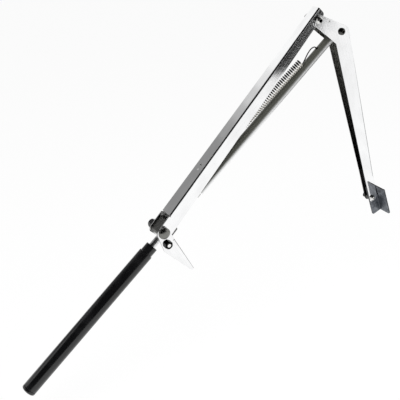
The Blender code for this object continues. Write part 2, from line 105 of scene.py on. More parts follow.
# %% [markdown]
# ## Where the pivots are
# Every arm is simplest to draw along its own length, with its pivot as the zero point. A pivot
# here is a matrix that carries such a drawing into the shared frame. World coordinates would do
# too, but they would tell nothing about the arm. The angles and places are those of the CAD model.

# %% Pivots
MM = 0.001
GAP = 0.3 * MM
BASE_RISE, FOLD, AXIS_TILT, LEAF_DROP, WINDOW_TURN = 47.2, 112.2, 5.7, 60.7, 3.0
KNEE = (388.2 * MM, -2.6 * MM)
PUSH_PIN = (38.7 * MM, 32.6 * MM)
LIFT_LENGTH = 358.7 * MM
LEAF_FACE, LEAF_ROOT, LEAF_TIP = 8.3 * MM, 21.0 * MM, 89.0 * MM
FRAME_FLANGE_Y, LEAF_FAR_Y = -16.2 * MM, 2.0 * MM


def pivot(parent, x, z, turn):
    """A frame at (x, z) of its parent, turned about Y by that many degrees."""
    return parent @ Matrix.Translation((x, 0.0, z)) @ Matrix.Rotation(math.radians(turn), 4, "Y")


leaf_middle = Vector(((LEAF_ROOT + LEAF_TIP) / 2, (FRAME_FLANGE_Y + LEAF_FAR_Y) / 2, LEAF_FACE))
bracket_turn = Matrix.Rotation(math.radians(LEAF_DROP), 4, "Y")
foot = Matrix.Translation(-(bracket_turn @ leaf_middle))
bracket = foot @ bracket_turn
base = pivot(foot, 0.0, 0.0, -BASE_RISE)
lift = pivot(base, *KNEE, FOLD)
window = pivot(lift, LIFT_LENGTH, 0.0, WINDOW_TURN)
push_line = pivot(lift, *PUSH_PIN, 180.0 + AXIS_TILT - FOLD)
for name, place in (("foot", base), ("knee", lift), ("push pin", push_line), ("window", window)):
    print(name, "pivot", [round(v, 4) for v in place.translation])

# %% [markdown]
# ## Finishes
# Nearly everything is steel, so the finishes differ by plating and by the marks left in making.
# Each finish is a small node tree. A noise that is stretched along the piece gives rolling
# streaks, a second broad noise gives clouds in the plating, and both steer colour, roughness and
# a very shallow bump. Object coordinates keep the pattern on the piece when it moves.

# %% Helpers for noise
def new_finish(name):
    """A material with its Principled shader and an Object coordinate source."""
    material = bpy.data.materials.new(name)
    material.use_nodes = True
    tree = material.node_tree
    return material, tree, tree.nodes["Principled BSDF"], tree.nodes.new("ShaderNodeTexCoord")


def stretched_noise(tree, coords, turn, size, detail=4.0):
    """Noise whose grains measure size along the axes of a frame turned about Y."""
    mapping = tree.nodes.new("ShaderNodeMapping")
    mapping.vector_type = "TEXTURE"
    mapping.inputs["Rotation"].default_value = (0.0, math.radians(turn), 0.0)
    mapping.inputs["Scale"].default_value = size
    noise = tree.nodes.new("ShaderNodeTexNoise")
    noise.inputs["Scale"].default_value = 1.0
    noise.inputs["Detail"].default_value = detail
    tree.links.new(coords.outputs["Object"], mapping.inputs["Vector"])
    tree.links.new(mapping.outputs["Vector"], noise.inputs["Vector"])
    return noise


def spread(tree, source, low, high, start=0.3, end=0.7):
    """Maps a noise onto the range low to high."""
    node = tree.nodes.new("ShaderNodeMapRange")
    node.inputs["From Min"].default_value = start
    node.inputs["From Max"].default_value = end
    node.inputs["To Min"].default_value = low
    node.inputs["To Max"].default_value = high
    tree.links.new(source, node.inputs["Value"])
    return node.outputs["Result"]

# %% Helpers for colour and relief
def ramp(tree, source, stops):
    """Colour ramp from (place, colour) stops."""
    node = tree.nodes.new("ShaderNodeValToRGB")
    points = node.color_ramp.elements
    while len(points) < len(stops):
        points.new(0.5)
    for point, (place, colour) in zip(points, stops):
        point.position = place
        point.color = (*colour, 1.0)
    tree.links.new(source, node.inputs["Fac"])
    return node.outputs["Color"]


def blend_colours(tree, kind, factor, first, second):
    """Mix two colours. Each input is a number, a colour or a socket."""
    node = tree.nodes.new("ShaderNodeMix")
    node.data_type = "RGBA"
    node.blend_type = kind
    for value, socket in ((factor, node.inputs["Factor"]), (first, node.inputs[6]),
                          (second, node.inputs[7])):
        if isinstance(value, (int, float)):
            socket.default_value = value
        elif isinstance(value, tuple):
            socket.default_value = (*value, 1.0)
        else:
            tree.links.new(value, socket)
    return node.outputs[2]


def overlay(material, direction, start, end, tint):
    """Blend a tint over a finish, from none at start to full at end along a direction."""
    tree = material.node_tree
    colour = tree.nodes["Principled BSDF"].inputs["Base Color"]
    reach = tree.nodes.new("ShaderNodeVectorMath")
    reach.operation = "DOT_PRODUCT"
    reach.inputs[1].default_value = direction
    tree.links.new(tree.nodes["Texture Coordinate"].outputs["Object"], reach.inputs[0])
    factor = spread(tree, reach.outputs["Value"], 0.0, 1.0, start, end)
    tree.links.new(blend_colours(tree, "MIX", factor, colour.links[0].from_socket, tint), colour)
    return factor


def shallow_bump(tree, shader, height, strength, depth):
    """Let a noise tilt the surface a little, to a depth in metres."""
    bump = tree.nodes.new("ShaderNodeBump")
    bump.inputs["Strength"].default_value = strength
    bump.inputs["Distance"].default_value = depth
    tree.links.new(height, bump.inputs["Height"])
    tree.links.new(bump.outputs["Normal"], shader.inputs["Normal"])

# %% [markdown]
# The channels and the tube are bright zinc on rolled sheet. The streaks run along each arm, so
# the finish is made once for every direction. Handling leaves short scratches across the streaks
# and grey bloom in places. Inside the lift arm the plating is rougher and painted a darker grey,
# darker still towards its lower end, as painted shade, and the arm's edges are painted dark at that
# end as painted shade too. The push tube's upper side is painted dark olive and less metallic as
# painted shade. A picture of worn metal could be wrapped round each piece instead, but noise in
# space leaves no seams.

# %% Bright zinc
def bright_zinc(name, turn, tone=(0.965, 0.967, 0.97), polish=(0.05, 0.11)):
    """Plated sheet whose rolling streaks follow a frame turned about Y."""
    material, tree, shader, coords = new_finish(name)
    streaks = stretched_noise(tree, coords, turn, (0.09, 0.0011, 0.0011))
    clouds = stretched_noise(tree, coords, turn, (0.035, 0.022, 0.022), 5.0)
    scratches = stretched_noise(tree, coords, turn + 62.0, (0.02, 0.0004, 0.0004), 2.0)
    dull = tuple(0.92 * c for c in tone)
    colour = ramp(tree, clouds.outputs["Fac"], [(0.34, dull), (0.62, tone)])
    worn = spread(tree, streaks.outputs["Fac"], 0.0, 0.12)
    colour = blend_colours(tree, "MULTIPLY", worn, colour, (0.62, 0.63, 0.65))
    tree.links.new(colour, shader.inputs["Base Color"])
    shader.inputs["Metallic"].default_value = 1.0
    roughness = tree.nodes.new("ShaderNodeMath")
    roughness.operation = "ADD"
    tree.links.new(spread(tree, streaks.outputs["Fac"], *polish), roughness.inputs[0])
    tree.links.new(spread(tree, scratches.outputs["Fac"], 0.0, 0.08, 0.62, 0.72), roughness.inputs[1])
    tree.links.new(roughness.outputs["Value"], shader.inputs["Roughness"])
    shallow_bump(tree, shader, streaks.outputs["Fac"], 0.10, 0.0002)
    return material


base_zinc = bright_zinc("bright_zinc_base", -BASE_RISE)
lift_zinc = bright_zinc("bright_zinc_lift", FOLD - BASE_RISE)
TUBE_R, UP = 7.0 * MM, Vector((0.0, 0.0, 1.0))
tube_axis = push_line.to_3x3() @ Vector((1.0, 0.0, 0.0))
tube_up = UP - UP.dot(tube_axis) * tube_axis
tube_middle = tube_up.dot(push_line.translation)
PUSH_TURN = 180.0 + AXIS_TILT - BASE_RISE
tube_zinc = bright_zinc("zinc_tube_shaded_top", PUSH_TURN, polish=(0.22, 0.34))
# Painted shade: the push tube's upper side is painted dark olive and less metallic.
tube_top_shade = overlay(tube_zinc, tube_up, tube_middle - 0.30 * TUBE_R, tube_middle + 0.32 * TUBE_R,
               (0.098, 0.100, 0.086))
tube_zinc.node_tree.links.new(spread(tube_zinc.node_tree, tube_top_shade, 1.0, 0.3, 0.0, 1.0),
                              tube_zinc.node_tree.nodes["Principled BSDF"].inputs["Metallic"])
nipple_zinc = bright_zinc("bright_zinc_nipple", PUSH_TURN, polish=(0.30, 0.42))
bracket_zinc = bright_zinc("bright_zinc_bracket", LEAF_DROP)
# Painted shade: the frame bracket's edges are painted dark grey.
bracket_shaded_edges = bright_zinc("shaded_edge_zinc_bracket", LEAF_DROP, (0.20, 0.20, 0.195), (0.24, 0.36))
base_inside = bright_zinc("plain_zinc_base", -BASE_RISE, (0.86, 0.86, 0.85), (0.10, 0.20))
# Painted shade: the lift arm's inside is painted a darker grey, darker still towards its lower end.
lift_inside = bright_zinc("dull_zinc_lift_shaded", FOLD - BASE_RISE, (0.66, 0.66, 0.64), (0.24, 0.36))
overlay(lift_inside, UP, 0.31, 0.05, (0.11, 0.11, 0.105))
overlay(lift_inside, UP, 0.05, 0.015, (0.035, 0.035, 0.034))
lift_edges = bright_zinc("edge_zinc_lift", FOLD - BASE_RISE)
# Painted shade: the lift arm's edges are painted dark towards its lower end.
overlay(lift_edges, UP, 0.05, 0.012, (0.06, 0.06, 0.058))
print("zinc finishes made")

# %% [markdown]
# The other metals: bolts of turned steel with fine rings, a dull grey window bracket with the
# mottle of thick plating, pale spring wire painted black in places as painted shade, a cast block
# with a sandy skin whose dark grey is painted shade. Each is a short function, so that another
# tone takes one more line. The knee bolt's socket, painted black as painted shade, and the black
# ring round the lock bolt's bright middle, painted shade on the head's sides, are coloured by the
# distance from the bolt's axis, which is simpler than picking out faces for a second material.

# %% Turned steel
def turned_steel(name, tone, roughness=(0.2, 0.36)):
    """Lathe-cut steel with fine rings round Y, the direction of every bolt."""
    material, tree, shader, coords = new_finish(name)
    rings = stretched_noise(tree, coords, 0.0, (0.002, 0.0005, 0.002), 3.0)
    dark = tuple(0.72 * c for c in tone)
    tree.links.new(ramp(tree, rings.outputs["Fac"], [(0.3, dark), (0.66, tone)]),
                   shader.inputs["Base Color"])
    shader.inputs["Metallic"].default_value = 1.0
    tree.links.new(spread(tree, rings.outputs["Fac"], *roughness), shader.inputs["Roughness"])
    shallow_bump(tree, shader, rings.outputs["Fac"], 0.12, 0.0002)
    return material


def cored_steel(name, axis, radius, rim, core):
    """Turned steel with another tone within a radius of an axis along Y."""
    material = turned_steel(name, rim, (0.26, 0.38))
    tree = material.node_tree
    colour = tree.nodes["Principled BSDF"].inputs["Base Color"]
    source = tree.nodes["Texture Coordinate"].outputs["Object"]
    for operation, value in (("SUBTRACT", axis), ("MULTIPLY", (1.0, 0.0, 1.0)), ("LENGTH", axis)):
        step = tree.nodes.new("ShaderNodeVectorMath")
        step.operation = operation
        step.inputs[1].default_value = value
        tree.links.new(source, step.inputs[0])
        source = step.outputs["Value" if operation == "LENGTH" else "Vector"]
    inside = spread(tree, source, 1.0, 0.0, 0.9 * radius, radius)
    tree.links.new(blend_colours(tree, "MIX", inside, colour.links[0].from_socket, core), colour)
    return material

# %% Plating, wire and casting
def mottled_steel(name, dark, light):
    """Thick dull plating: a patchy crystal mottle with a fine grit over it."""
    material, tree, shader, coords = new_finish(name)
    patches = tree.nodes.new("ShaderNodeTexVoronoi")
    patches.inputs["Scale"].default_value = 260.0
    tree.links.new(coords.outputs["Object"], patches.inputs["Vector"])
    grit = stretched_noise(tree, coords, 0.0, (0.0012, 0.0012, 0.0012), 4.0)
    tone = spread(tree, patches.outputs["Color"], 0.0, 1.0, 0.1, 0.9)
    colour = blend_colours(tree, "MIX", tone, dark, light)
    colour = blend_colours(tree, "MULTIPLY", spread(tree, grit.outputs["Fac"], 0.0, 0.5), colour,
                           (0.55, 0.56, 0.58))
    tree.links.new(colour, shader.inputs["Base Color"])
    shader.inputs["Metallic"].default_value = 1.0
    tree.links.new(spread(tree, grit.outputs["Fac"], 0.34, 0.52), shader.inputs["Roughness"])
    shallow_bump(tree, shader, grit.outputs["Fac"], 0.25, 0.0003)
    return material


def spring_wire(name):
    """Pale plated wire, painted black where the piece's own attribute says so: painted shade on the coils,
    and black hooks.
    """
    material, tree, shader, coords = new_finish(name)
    plating = stretched_noise(tree, coords, -BASE_RISE, (0.006, 0.003, 0.003), 3.0)
    pale = ramp(tree, plating.outputs["Fac"], [(0.3, (0.40, 0.38, 0.33)), (0.7, (0.74, 0.72, 0.66))])
    painted_black = tree.nodes.new("ShaderNodeAttribute")
    painted_black.attribute_name = "painted_black"
    tree.links.new(blend_colours(tree, "MIX", painted_black.outputs["Fac"], pale, (0.010, 0.009, 0.007)),
                   shader.inputs["Base Color"])
    shader.inputs["Metallic"].default_value = 0.45
    tree.links.new(spread(tree, plating.outputs["Fac"], 0.24, 0.42), shader.inputs["Roughness"])
    return material


def cast_metal(name):
    """Grey casting with a sandy skin."""
    material, tree, shader, coords = new_finish(name)
    sand = stretched_noise(tree, coords, 0.0, (0.0016, 0.0016, 0.0016), 6.0)
    tree.links.new(ramp(tree, sand.outputs["Fac"],
                        [(0.3, (0.10, 0.10, 0.095)), (0.7, (0.26, 0.26, 0.25))]),
                   shader.inputs["Base Color"])
    shader.inputs["Metallic"].default_value = 1.0
    tree.links.new(spread(tree, sand.outputs["Fac"], 0.38, 0.6), shader.inputs["Roughness"])
    shallow_bump(tree, shader, sand.outputs["Fac"], 0.4, 0.0004)
    return material

# %% Make the metals
bolt_steel = turned_steel("bolt_steel", (0.62, 0.62, 0.61))
dark_bolt_steel = turned_steel("dark_bolt_steel", (0.09, 0.09, 0.085), (0.14, 0.26))
# SHADE_BLACK is painted shade: in the knee bolt's socket and on the ring round the lock bolt's middle.
BRIGHT, SHADE_BLACK = (0.92, 0.92, 0.90), (0.012, 0.012, 0.012)
knee_steel = cored_steel("knee_bolt_steel", lift.translation, 3.1 * MM, BRIGHT, SHADE_BLACK)
dull_head_steel = turned_steel("dull_head_steel", (0.25, 0.25, 0.235), (0.22, 0.34))
cut_steel = turned_steel("cut_steel", (0.085, 0.088, 0.095), (0.4, 0.55))
polished_steel = turned_steel("polished_steel", (0.90, 0.90, 0.88), (0.08, 0.16))
black_nut_steel = turned_steel("blackened_steel", (0.06, 0.06, 0.06), (0.35, 0.5))
window_steel = mottled_steel("dull_steel", (0.13, 0.14, 0.155), (0.28, 0.295, 0.32))
spring_steel = spring_wire("spring_steel")
# Painted shade: the receiver's casting is dark grey, as it sits in the shade between the ears.
cast_zinc = cast_metal("cast_zinc")
print("steel, spring and cast finishes made")

# %% [markdown]
# The cylinder is dipped in gloss black lacquer, which flows into a faint orange peel and gathers
# dust. A thin clear coat over a rougher black gives highlights that are crisp in the middle and soft
# at the edge. Inside the cylinder, out of sight, are the rubber seal and the wax. They keep the
# shapes of the CAD model and only get their finish here.

# %% Lacquer, rubber and wax
def black_lacquer(name):
    """Gloss black with a faint orange peel and a little dust."""
    material, tree, shader, coords = new_finish(name)
    peel = stretched_noise(tree, coords, 0.0, (0.0035, 0.0035, 0.0035), 2.0)
    dust = stretched_noise(tree, coords, 0.0, (0.03, 0.03, 0.03), 6.0)
    tree.links.new(ramp(tree, dust.outputs["Fac"],
                        [(0.45, (0.003, 0.003, 0.0035)), (0.8, (0.009, 0.009, 0.010))]),
                   shader.inputs["Base Color"])
    tree.links.new(spread(tree, dust.outputs["Fac"], 0.16, 0.30), shader.inputs["Roughness"])
    shader.inputs["Coat Weight"].default_value = 0.3
    shader.inputs["Coat Roughness"].default_value = 0.08
    shallow_bump(tree, shader, peel.outputs["Fac"], 0.06, 0.0004)
    return material


def soft_stuff(name, dark, light, grain, roughness):
    """Rubber or wax: two tones in grains of one size."""
    material, tree, shader, coords = new_finish(name)
    noise = stretched_noise(tree, coords, 0.0, (grain, grain, grain), 4.0)
    tree.links.new(ramp(tree, noise.outputs["Fac"], [(0.3, dark), (0.7, light)]),
                   shader.inputs["Base Color"])
    tree.links.new(spread(tree, noise.outputs["Fac"], *roughness), shader.inputs["Roughness"])
    return material


lacquer = black_lacquer("black_lacquer")
rubber = soft_stuff("seal_rubber", (0.012, 0.012, 0.012), (0.03, 0.03, 0.03), 0.001, (0.6, 0.8))
wax = soft_stuff("wax", (0.62, 0.55, 0.38), (0.80, 0.73, 0.55), 0.006, (0.4, 0.6))
for node, finish in (("gland_seal", rubber), ("wax_charge", wax)):
    hidden = frame["nodes"][node].data.materials
    hidden.clear()
    hidden.append(finish)
print("lacquer, rubber and wax finishes made")

# %% [markdown]
# ## From drawing to piece
# A piece is drawn in its own pivot's frame and finished by modifiers. Then the evaluated mesh is
# copied out, carried into the shared frame and shown in place of the plain CAD node. Faces that
# meet at a shallow angle are shaded smooth, so that bends and turned sides look round. Weighted
# normals keep the large faces flat right up to their bends, which polished metal needs.

# %% Finish a piece
SMOOTH_BELOW = math.radians(32.0)


def draft(name, mesh):
    """A temporary object to hang modifiers on."""
    obj = bpy.data.objects.new(name + "_draft", mesh)
    scene.collection.objects.link(obj)
    return obj


def evaluated_mesh(obj, place, *spare):
    """The mesh of obj with its modifiers applied, carried to its place. Drafts are removed."""
    bpy.context.view_layer.update()
    graph = bpy.context.evaluated_depsgraph_get()
    mesh = bpy.data.meshes.new_from_object(obj.evaluated_get(graph), depsgraph=graph)
    mesh.transform(place)
    for draft_object in (obj, *spare):
        bpy.data.objects.remove(draft_object)
    return mesh


def mesh_from(bm, name):
    mesh = bpy.data.meshes.new(name)
    bm.to_mesh(mesh)
    bm.free()
    return mesh


def shaded(name, mesh):
    """The mesh with smooth bends, sharp corners and flat large faces."""
    mesh.shade_smooth()
    mesh.set_sharp_from_angle(angle=SMOOTH_BELOW)
    obj = draft(name, mesh)
    weights = obj.modifiers.new("weights", "WEIGHTED_NORMAL")
    weights.keep_sharp = True
    result = evaluated_mesh(obj, Matrix.Identity(4))
    result.name = name
    return result


def show(name, mesh, body, material, slot, *nodes):
    """Put a finished mesh on a body, in place of those CAD nodes."""
    if not any(mesh.materials):
        mesh.materials.clear()
        mesh.materials.append(material)
    piece = bpy.data.objects.new(name, shaded(name, mesh))
    scene.collection.objects.link(piece)
    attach(piece, body)
    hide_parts(*nodes)
    print(name, len(piece.data.polygons), "faces on", body)
    return piece

# %% [markdown]
# Outlines are lists of corners, each with its own rounding. This turns them into points, with a
# point about every six degrees of arc. A Bevel on the corners would do too, but it rounds all of
# them alike.

# %% Rounded outlines
ARC_STEP = math.radians(6.0)


def rounded(corners):
    """Points of a closed outline from (x, z, radius) corners."""
    outline = []
    for i, (x, z, radius) in enumerate(corners):
        here = Vector((x, z))
        before = (Vector(corners[i - 1][:2]) - here).normalized()
        after = (Vector(corners[(i + 1) % len(corners)][:2]) - here).normalized()
        if radius <= 0.0:
            outline.append((x, z))
            continue
        half = before.angle(after) / 2
        centre = here + (before + after).normalized() * (radius / math.sin(half))
        first = here + before * (radius / math.tan(half)) - centre
        last = here + after * (radius / math.tan(half)) - centre
        sweep = first.angle_signed(last)
        steps = max(3, math.ceil(abs(sweep) / ARC_STEP))
        start = math.atan2(first.y, first.x)
        for k in range(steps + 1):
            a = start - sweep * k / steps
            outline.append((centre.x + radius * math.cos(a), centre.y + radius * math.sin(a)))
    return outline

# %% [markdown]
# ## Bent sheet
# The channels and brackets are flat blanks that a press folds. A box with its inside cut out would
# look much the same, but a folded skin keeps one thickness all round, as sheet does. The outer skin
# is drawn as flat faces that share their bend lines. Bevel rounds the bends, Solidify gives the
# sheet its thickness inwards with the inner finish on the new side, one Boolean drills the holes,
# and a last fine Bevel breaks the sharp rims so that they catch the light as real sheet does. Where
# a bend ends beside an ear, a small cut frees the one from the other, so that the bend can end
# there. Bevel's overlap guard is off, so that every bend keeps its full radius.

# %% Fold a sheet
ACROSS, UPRIGHT = (0.0, 1.0, 0.0), (0.0, 0.0, 1.0)
SHEET, BEND, RELIEF = 1.5 * MM, 2.2 * MM, 3.5 * MM
BOLT, BOLT_HOLE = 6.0 * MM, 6.6 * MM
DRILL_LENGTH, RIM_WIDTH = 60.0 * MM, 0.22 * MM
BEND_ANGLE, RIM_ANGLE = math.radians(60.0), math.radians(50.0)


def drill_bits(holes):
    """One mesh of round bars: each hole is (centre, diameter, direction)."""
    bm = bmesh.new()
    for centre, diameter, direction in holes:
        turn = Vector(direction).to_track_quat("Z", "Y").to_matrix().to_4x4()
        bmesh.ops.create_cone(bm, cap_ends=True, segments=40, radius1=diameter / 2,
                              radius2=diameter / 2, depth=DRILL_LENGTH,
                              matrix=Matrix.Translation(centre) @ turn)
    return mesh_from(bm, "drill_bits")


def relief(x, z, side):
    """Corners of the cut at the end of a bend. The ear goes on at that side, -1 or 1."""
    return [(x, z, 0), (x, z - RELIEF, 0), (x + side * RELIEF / 2, z, 0)]


def folded_sheet(name, faces, thickness, bend, holes, place, outside, inside, edges):
    """Mesh of a folded and drilled sheet from the flat faces of its outer skin."""
    bm = bmesh.new()
    for points in faces:
        bm.faces.new([bm.verts.new(p) for p in points])
    bmesh.ops.remove_doubles(bm, verts=bm.verts, dist=0.01 * MM)
    obj = draft(name, mesh_from(bm, name))
    for finish in (outside, inside, edges):
        obj.data.materials.append(finish)
    bends = obj.modifiers.new("bends", "BEVEL")
    bends.width = bend
    bends.segments = 6
    bends.use_clamp_overlap = False
    bends.limit_method = "ANGLE"
    bends.angle_limit = BEND_ANGLE
    sheet = obj.modifiers.new("sheet", "SOLIDIFY")
    sheet.thickness = thickness
    sheet.offset = -1.0
    sheet.use_even_offset = True
    sheet.material_offset = 1
    sheet.material_offset_rim = 2
    bits = draft(name + "_bits", drill_bits(holes))
    drill = obj.modifiers.new("holes", "BOOLEAN")
    drill.operation = "DIFFERENCE"
    drill.solver = "EXACT"
    drill.object = bits
    rims = obj.modifiers.new("rims", "BEVEL")
    rims.width = RIM_WIDTH
    rims.segments = 2
    rims.limit_method = "ANGLE"
    rims.angle_limit = RIM_ANGLE
    return evaluated_mesh(obj, place, bits)


def channel_faces(outline, web_ends, half_width):
    """Two flanges of one outline and the web between them."""
    front = [(x, -half_width(x), z) for x, z in outline]
    back = [(x, half_width(x), z) for x, z in reversed(outline)]
    (x0, z0), (x1, z1) = web_ends
    web = [(x0, -half_width(x0), z0), (x1, -half_width(x1), z1),
           (x1, half_width(x1), z1), (x0, half_width(x0), z0)]
    return [front, back, web]

# %% [markdown]
# The base channel narrows and gets shallower towards the knee. At its foot the web stops and the
# flanges run on as two ears. Two small holes in the web take the spring's lower hook.

# %% Base channel
WEB_FACE, WEB_START, WEB_END, EAR_END = 8.0 * MM, 25.5 * MM, 402.5 * MM, -11.0 * MM
SPRING_HOLES = (105.5 * MM, 113.5 * MM)


def base_half_width(x):
    """Half of the channel's outer width at a distance from the foot pivot."""
    return (25.3 * MM - 0.0195 * x) / 2


def base_edge(x):
    """Height of the flanges' free edge."""
    return WEB_FACE - (23.5 * MM - 0.0213 * x)


base_outline = rounded([(EAR_END, base_edge(EAR_END), 7 * MM), (WEB_END, base_edge(WEB_END), 5 * MM),
                        (WEB_END, WEB_FACE, 0), *relief(WEB_START, WEB_FACE, -1),
                        (EAR_END, WEB_FACE, 6 * MM)])
base_holes = [((0.0, 0.0, 0.0), BOLT_HOLE, ACROSS), ((KNEE[0], 0.0, KNEE[1]), BOLT_HOLE, ACROSS)]
base_holes += [((x, 0.0, WEB_FACE + 20 * MM), 3.2 * MM, UPRIGHT) for x in SPRING_HOLES]
base_faces = channel_faces(base_outline, [(WEB_START, WEB_FACE), (WEB_END, WEB_FACE)], base_half_width)
show("base_channel_sheet",
     folded_sheet("base_channel_sheet", base_faces, SHEET, BEND, base_holes, base,
                  base_zinc, base_inside, base_zinc),
     "base", base_zinc, "bright_zinc", "base_channel")

# %% [markdown]
# The lift arm is the wider channel. At the knee its flanges turn inwards as two ears that straddle
# the base channel, and at the other end two short ears hold the window bracket.

# %% Lift arm
LIFT_WEB = (56.0 * MM, 318.0 * MM)
EAR_HOLE, EAR_HOLE_SIZE = (12.0 * MM, 16.9 * MM), 3.0 * MM


def lift_half_width(x):
    """Half of the channel's outer width at a distance from the knee."""
    return (23.5 * MM - 0.0288 * x) / 2


def lift_back(x):
    """Height of the web, which comes closer to the pivots' line towards the window."""
    return 45.8 * MM - 0.1162 * (x - LIFT_WEB[0])


lift_foot = LIFT_LENGTH + 8.5 * MM
lift_outline = rounded([
    (-9.0 * MM, 2.6 * MM, 8.5 * MM), (2.0 * MM, -10.2 * MM, 8 * MM), (52.9 * MM, 18.1 * MM, 4 * MM),
    (lift_foot, -6.4 * MM, 7 * MM), (lift_foot, 9.2 * MM, 7 * MM),
    *reversed(relief(LIFT_WEB[1], lift_back(LIFT_WEB[1]), 1)),
    *relief(LIFT_WEB[0], lift_back(LIFT_WEB[0]), -1), (38.0 * MM, 46.5 * MM, 12 * MM)])
lift_holes = [((x, 0.0, z), BOLT_HOLE, ACROSS) for x, z in ((0.0, 0.0), PUSH_PIN, (LIFT_LENGTH, 0.0))]
lift_holes.append(((EAR_HOLE[0], 0.0, EAR_HOLE[1]), EAR_HOLE_SIZE, ACROSS))
lift_faces = channel_faces(lift_outline, [(x, lift_back(x)) for x in LIFT_WEB], lift_half_width)
show("lift_channel_sheet",
     folded_sheet("lift_channel_sheet", lift_faces, SHEET, BEND, lift_holes, lift,
                  lift_zinc, lift_inside, lift_edges),
     "lift_arm", lift_zinc, "bright_zinc", "lift_channel")

# %% [markdown]
# Both brackets are angles of thicker sheet with one bend. The frame bracket's flange turns on the
# foot bolt and tapers to the tip of its screwed leaf. The window bracket hangs inside the lift
# arm's end, and its wide leaf lies flat on the sash.

# %% Frame bracket
BRACKET_SHEET, BRACKET_BEND, SCREW_HOLE = 2.0 * MM, 2.5 * MM, 5.0 * MM
LOCK_BOLT, SCREWS = (19.6 * MM, -5.0 * MM), (36.0 * MM, 74.0 * MM)
flange_outline = rounded([(-9.5 * MM, LEAF_FACE, 8 * MM), (-9.5 * MM, -9.5 * MM, 8 * MM),
                          (27 * MM, -15.5 * MM, 8 * MM), (LEAF_TIP, 3.5 * MM, 2 * MM),
                          (LEAF_TIP, LEAF_FACE, 0), *relief(LEAF_ROOT, LEAF_FACE, -1)])
leaf_outline = ((LEAF_ROOT, FRAME_FLANGE_Y), (LEAF_TIP, FRAME_FLANGE_Y), (LEAF_TIP, LEAF_FAR_Y),
                (LEAF_ROOT, LEAF_FAR_Y))
frame_faces = [[(x, FRAME_FLANGE_Y, z) for x, z in flange_outline],
               [(x, y, LEAF_FACE) for x, y in leaf_outline]]
frame_holes = [((x, FRAME_FLANGE_Y, z), BOLT_HOLE, ACROSS) for x, z in ((0.0, 0.0), LOCK_BOLT)]
frame_holes += [((x, leaf_middle.y, LEAF_FACE), SCREW_HOLE, UPRIGHT) for x in SCREWS]
show("frame_bracket_sheet",
     folded_sheet("frame_bracket_sheet", frame_faces, BRACKET_SHEET, BRACKET_BEND, frame_holes, bracket,
                  bracket_zinc, bracket_zinc, bracket_shaded_edges),
     "frame_bracket", bracket_zinc, "bright_zinc", "frame_bracket")

# %% Window bracket
WINDOW_FACE, WINDOW_TOP, WINDOW_FOOT = 14.4 * MM, -18.0 * MM, 37.0 * MM
WINDOW_EDGE, WINDOW_TAB = -5.5 * MM, -27.0 * MM
WINDOW_LEAF_Y, WINDOW_REACH_Y, CLIPPED = -2.7 * MM, -28.0 * MM, 4.0 * MM
small_outline = rounded([(WINDOW_TAB, WINDOW_EDGE, 3 * MM), (WINDOW_FOOT, WINDOW_EDGE, 3 * MM),
                         (WINDOW_FOOT, WINDOW_FACE, 0), (WINDOW_TOP, WINDOW_FACE, 0),
                         (WINDOW_TAB, 5 * MM, 3 * MM)])
wide_outline = rounded([(WINDOW_TOP, WINDOW_LEAF_Y, 0), (WINDOW_TOP, WINDOW_REACH_Y, 0.8 * MM),
                        (WINDOW_FOOT, WINDOW_REACH_Y, CLIPPED), (WINDOW_FOOT, WINDOW_LEAF_Y, 0)])
window_faces = [[(x, WINDOW_LEAF_Y, z) for x, z in reversed(small_outline)],
                [(x, y, WINDOW_FACE) for x, y in wide_outline]]
window_holes = [((0.0, WINDOW_LEAF_Y, 0.0), BOLT_HOLE, ACROSS)]
show("window_bracket_sheet",
     folded_sheet("window_bracket_sheet", window_faces, BRACKET_SHEET, BRACKET_BEND, window_holes, window,
                  window_steel, window_steel, cut_steel),
     "window_bracket", window_steel, "dull_steel", "window_bracket")

# %% [markdown]
# ## Turned pieces
# Tubes, rods, sleeves and washers come off a lathe. Half of the section is drawn as an outline of
# radius and height with rounded corners, and Spin carries it round. Plain cylinders would be quicker,
# but their rims are sharp and catch no light. A section that starts and ends on the axis makes a
# solid, and a closed section makes a ring.

# %% Spin a section
LATHE_STEPS = 96
ALONG_X = Matrix.Rotation(math.radians(90.0), 4, "Y")
FRONT = Matrix.Rotation(math.radians(90.0), 4, "X")


def turned(name, corners, place, solid=False, steps=LATHE_STEPS):
    """Mesh of a lathe piece from (radius, height, rounding) corners, about the place's own Z."""
    section = rounded(corners)
    bm = bmesh.new()
    verts = [bm.verts.new((r, 0.0, h)) for r, h in section]
    pairs = list(zip(verts, verts[1:])) + ([] if solid else [(verts[-1], verts[0])])
    edges = [bm.edges.new(pair) for pair in pairs]
    bmesh.ops.spin(bm, geom=verts + edges, cent=(0.0, 0.0, 0.0), axis=(0.0, 0.0, 1.0),
                   angle=math.tau, steps=steps)
    bmesh.ops.remove_doubles(bm, verts=bm.verts, dist=0.005 * MM)
    bmesh.ops.dissolve_degenerate(bm, edges=bm.edges, dist=0.001 * MM)
    bmesh.ops.recalc_face_normals(bm, faces=bm.faces)
    mesh = mesh_from(bm, name)
    mesh.transform(place)
    return mesh


def ring_section(outer, inner, low, high, soft=0.25 * MM):
    """Corners of a ring's section, from its two diameters."""
    return [(outer / 2, high, soft), (outer / 2, low, soft),
            (inner / 2, low, soft), (inner / 2, high, soft)]


def bar_section(radius, start, end, start_soft=0.0, end_soft=0.0):
    """Corners of a round bar's half section, with a rounding for each end."""
    return [(0.0, start, 0), (radius, start, start_soft), (radius, end, end_soft), (0.0, end, 0)]


def show_turned(name, corners, place, body, material, slot, node, **options):
    """Turn a piece and show it in place of one CAD node."""
    show(name, turned(name, corners, place, **options), body, material, slot, node)


on_line = push_line @ ALONG_X

# %% [markdown]
# The cylinder: a black tube with a rolled shoulder, a domed plug crimped into its end and a
# narrower neck. The neck holds the bright nipple that screws into the block between the ears.

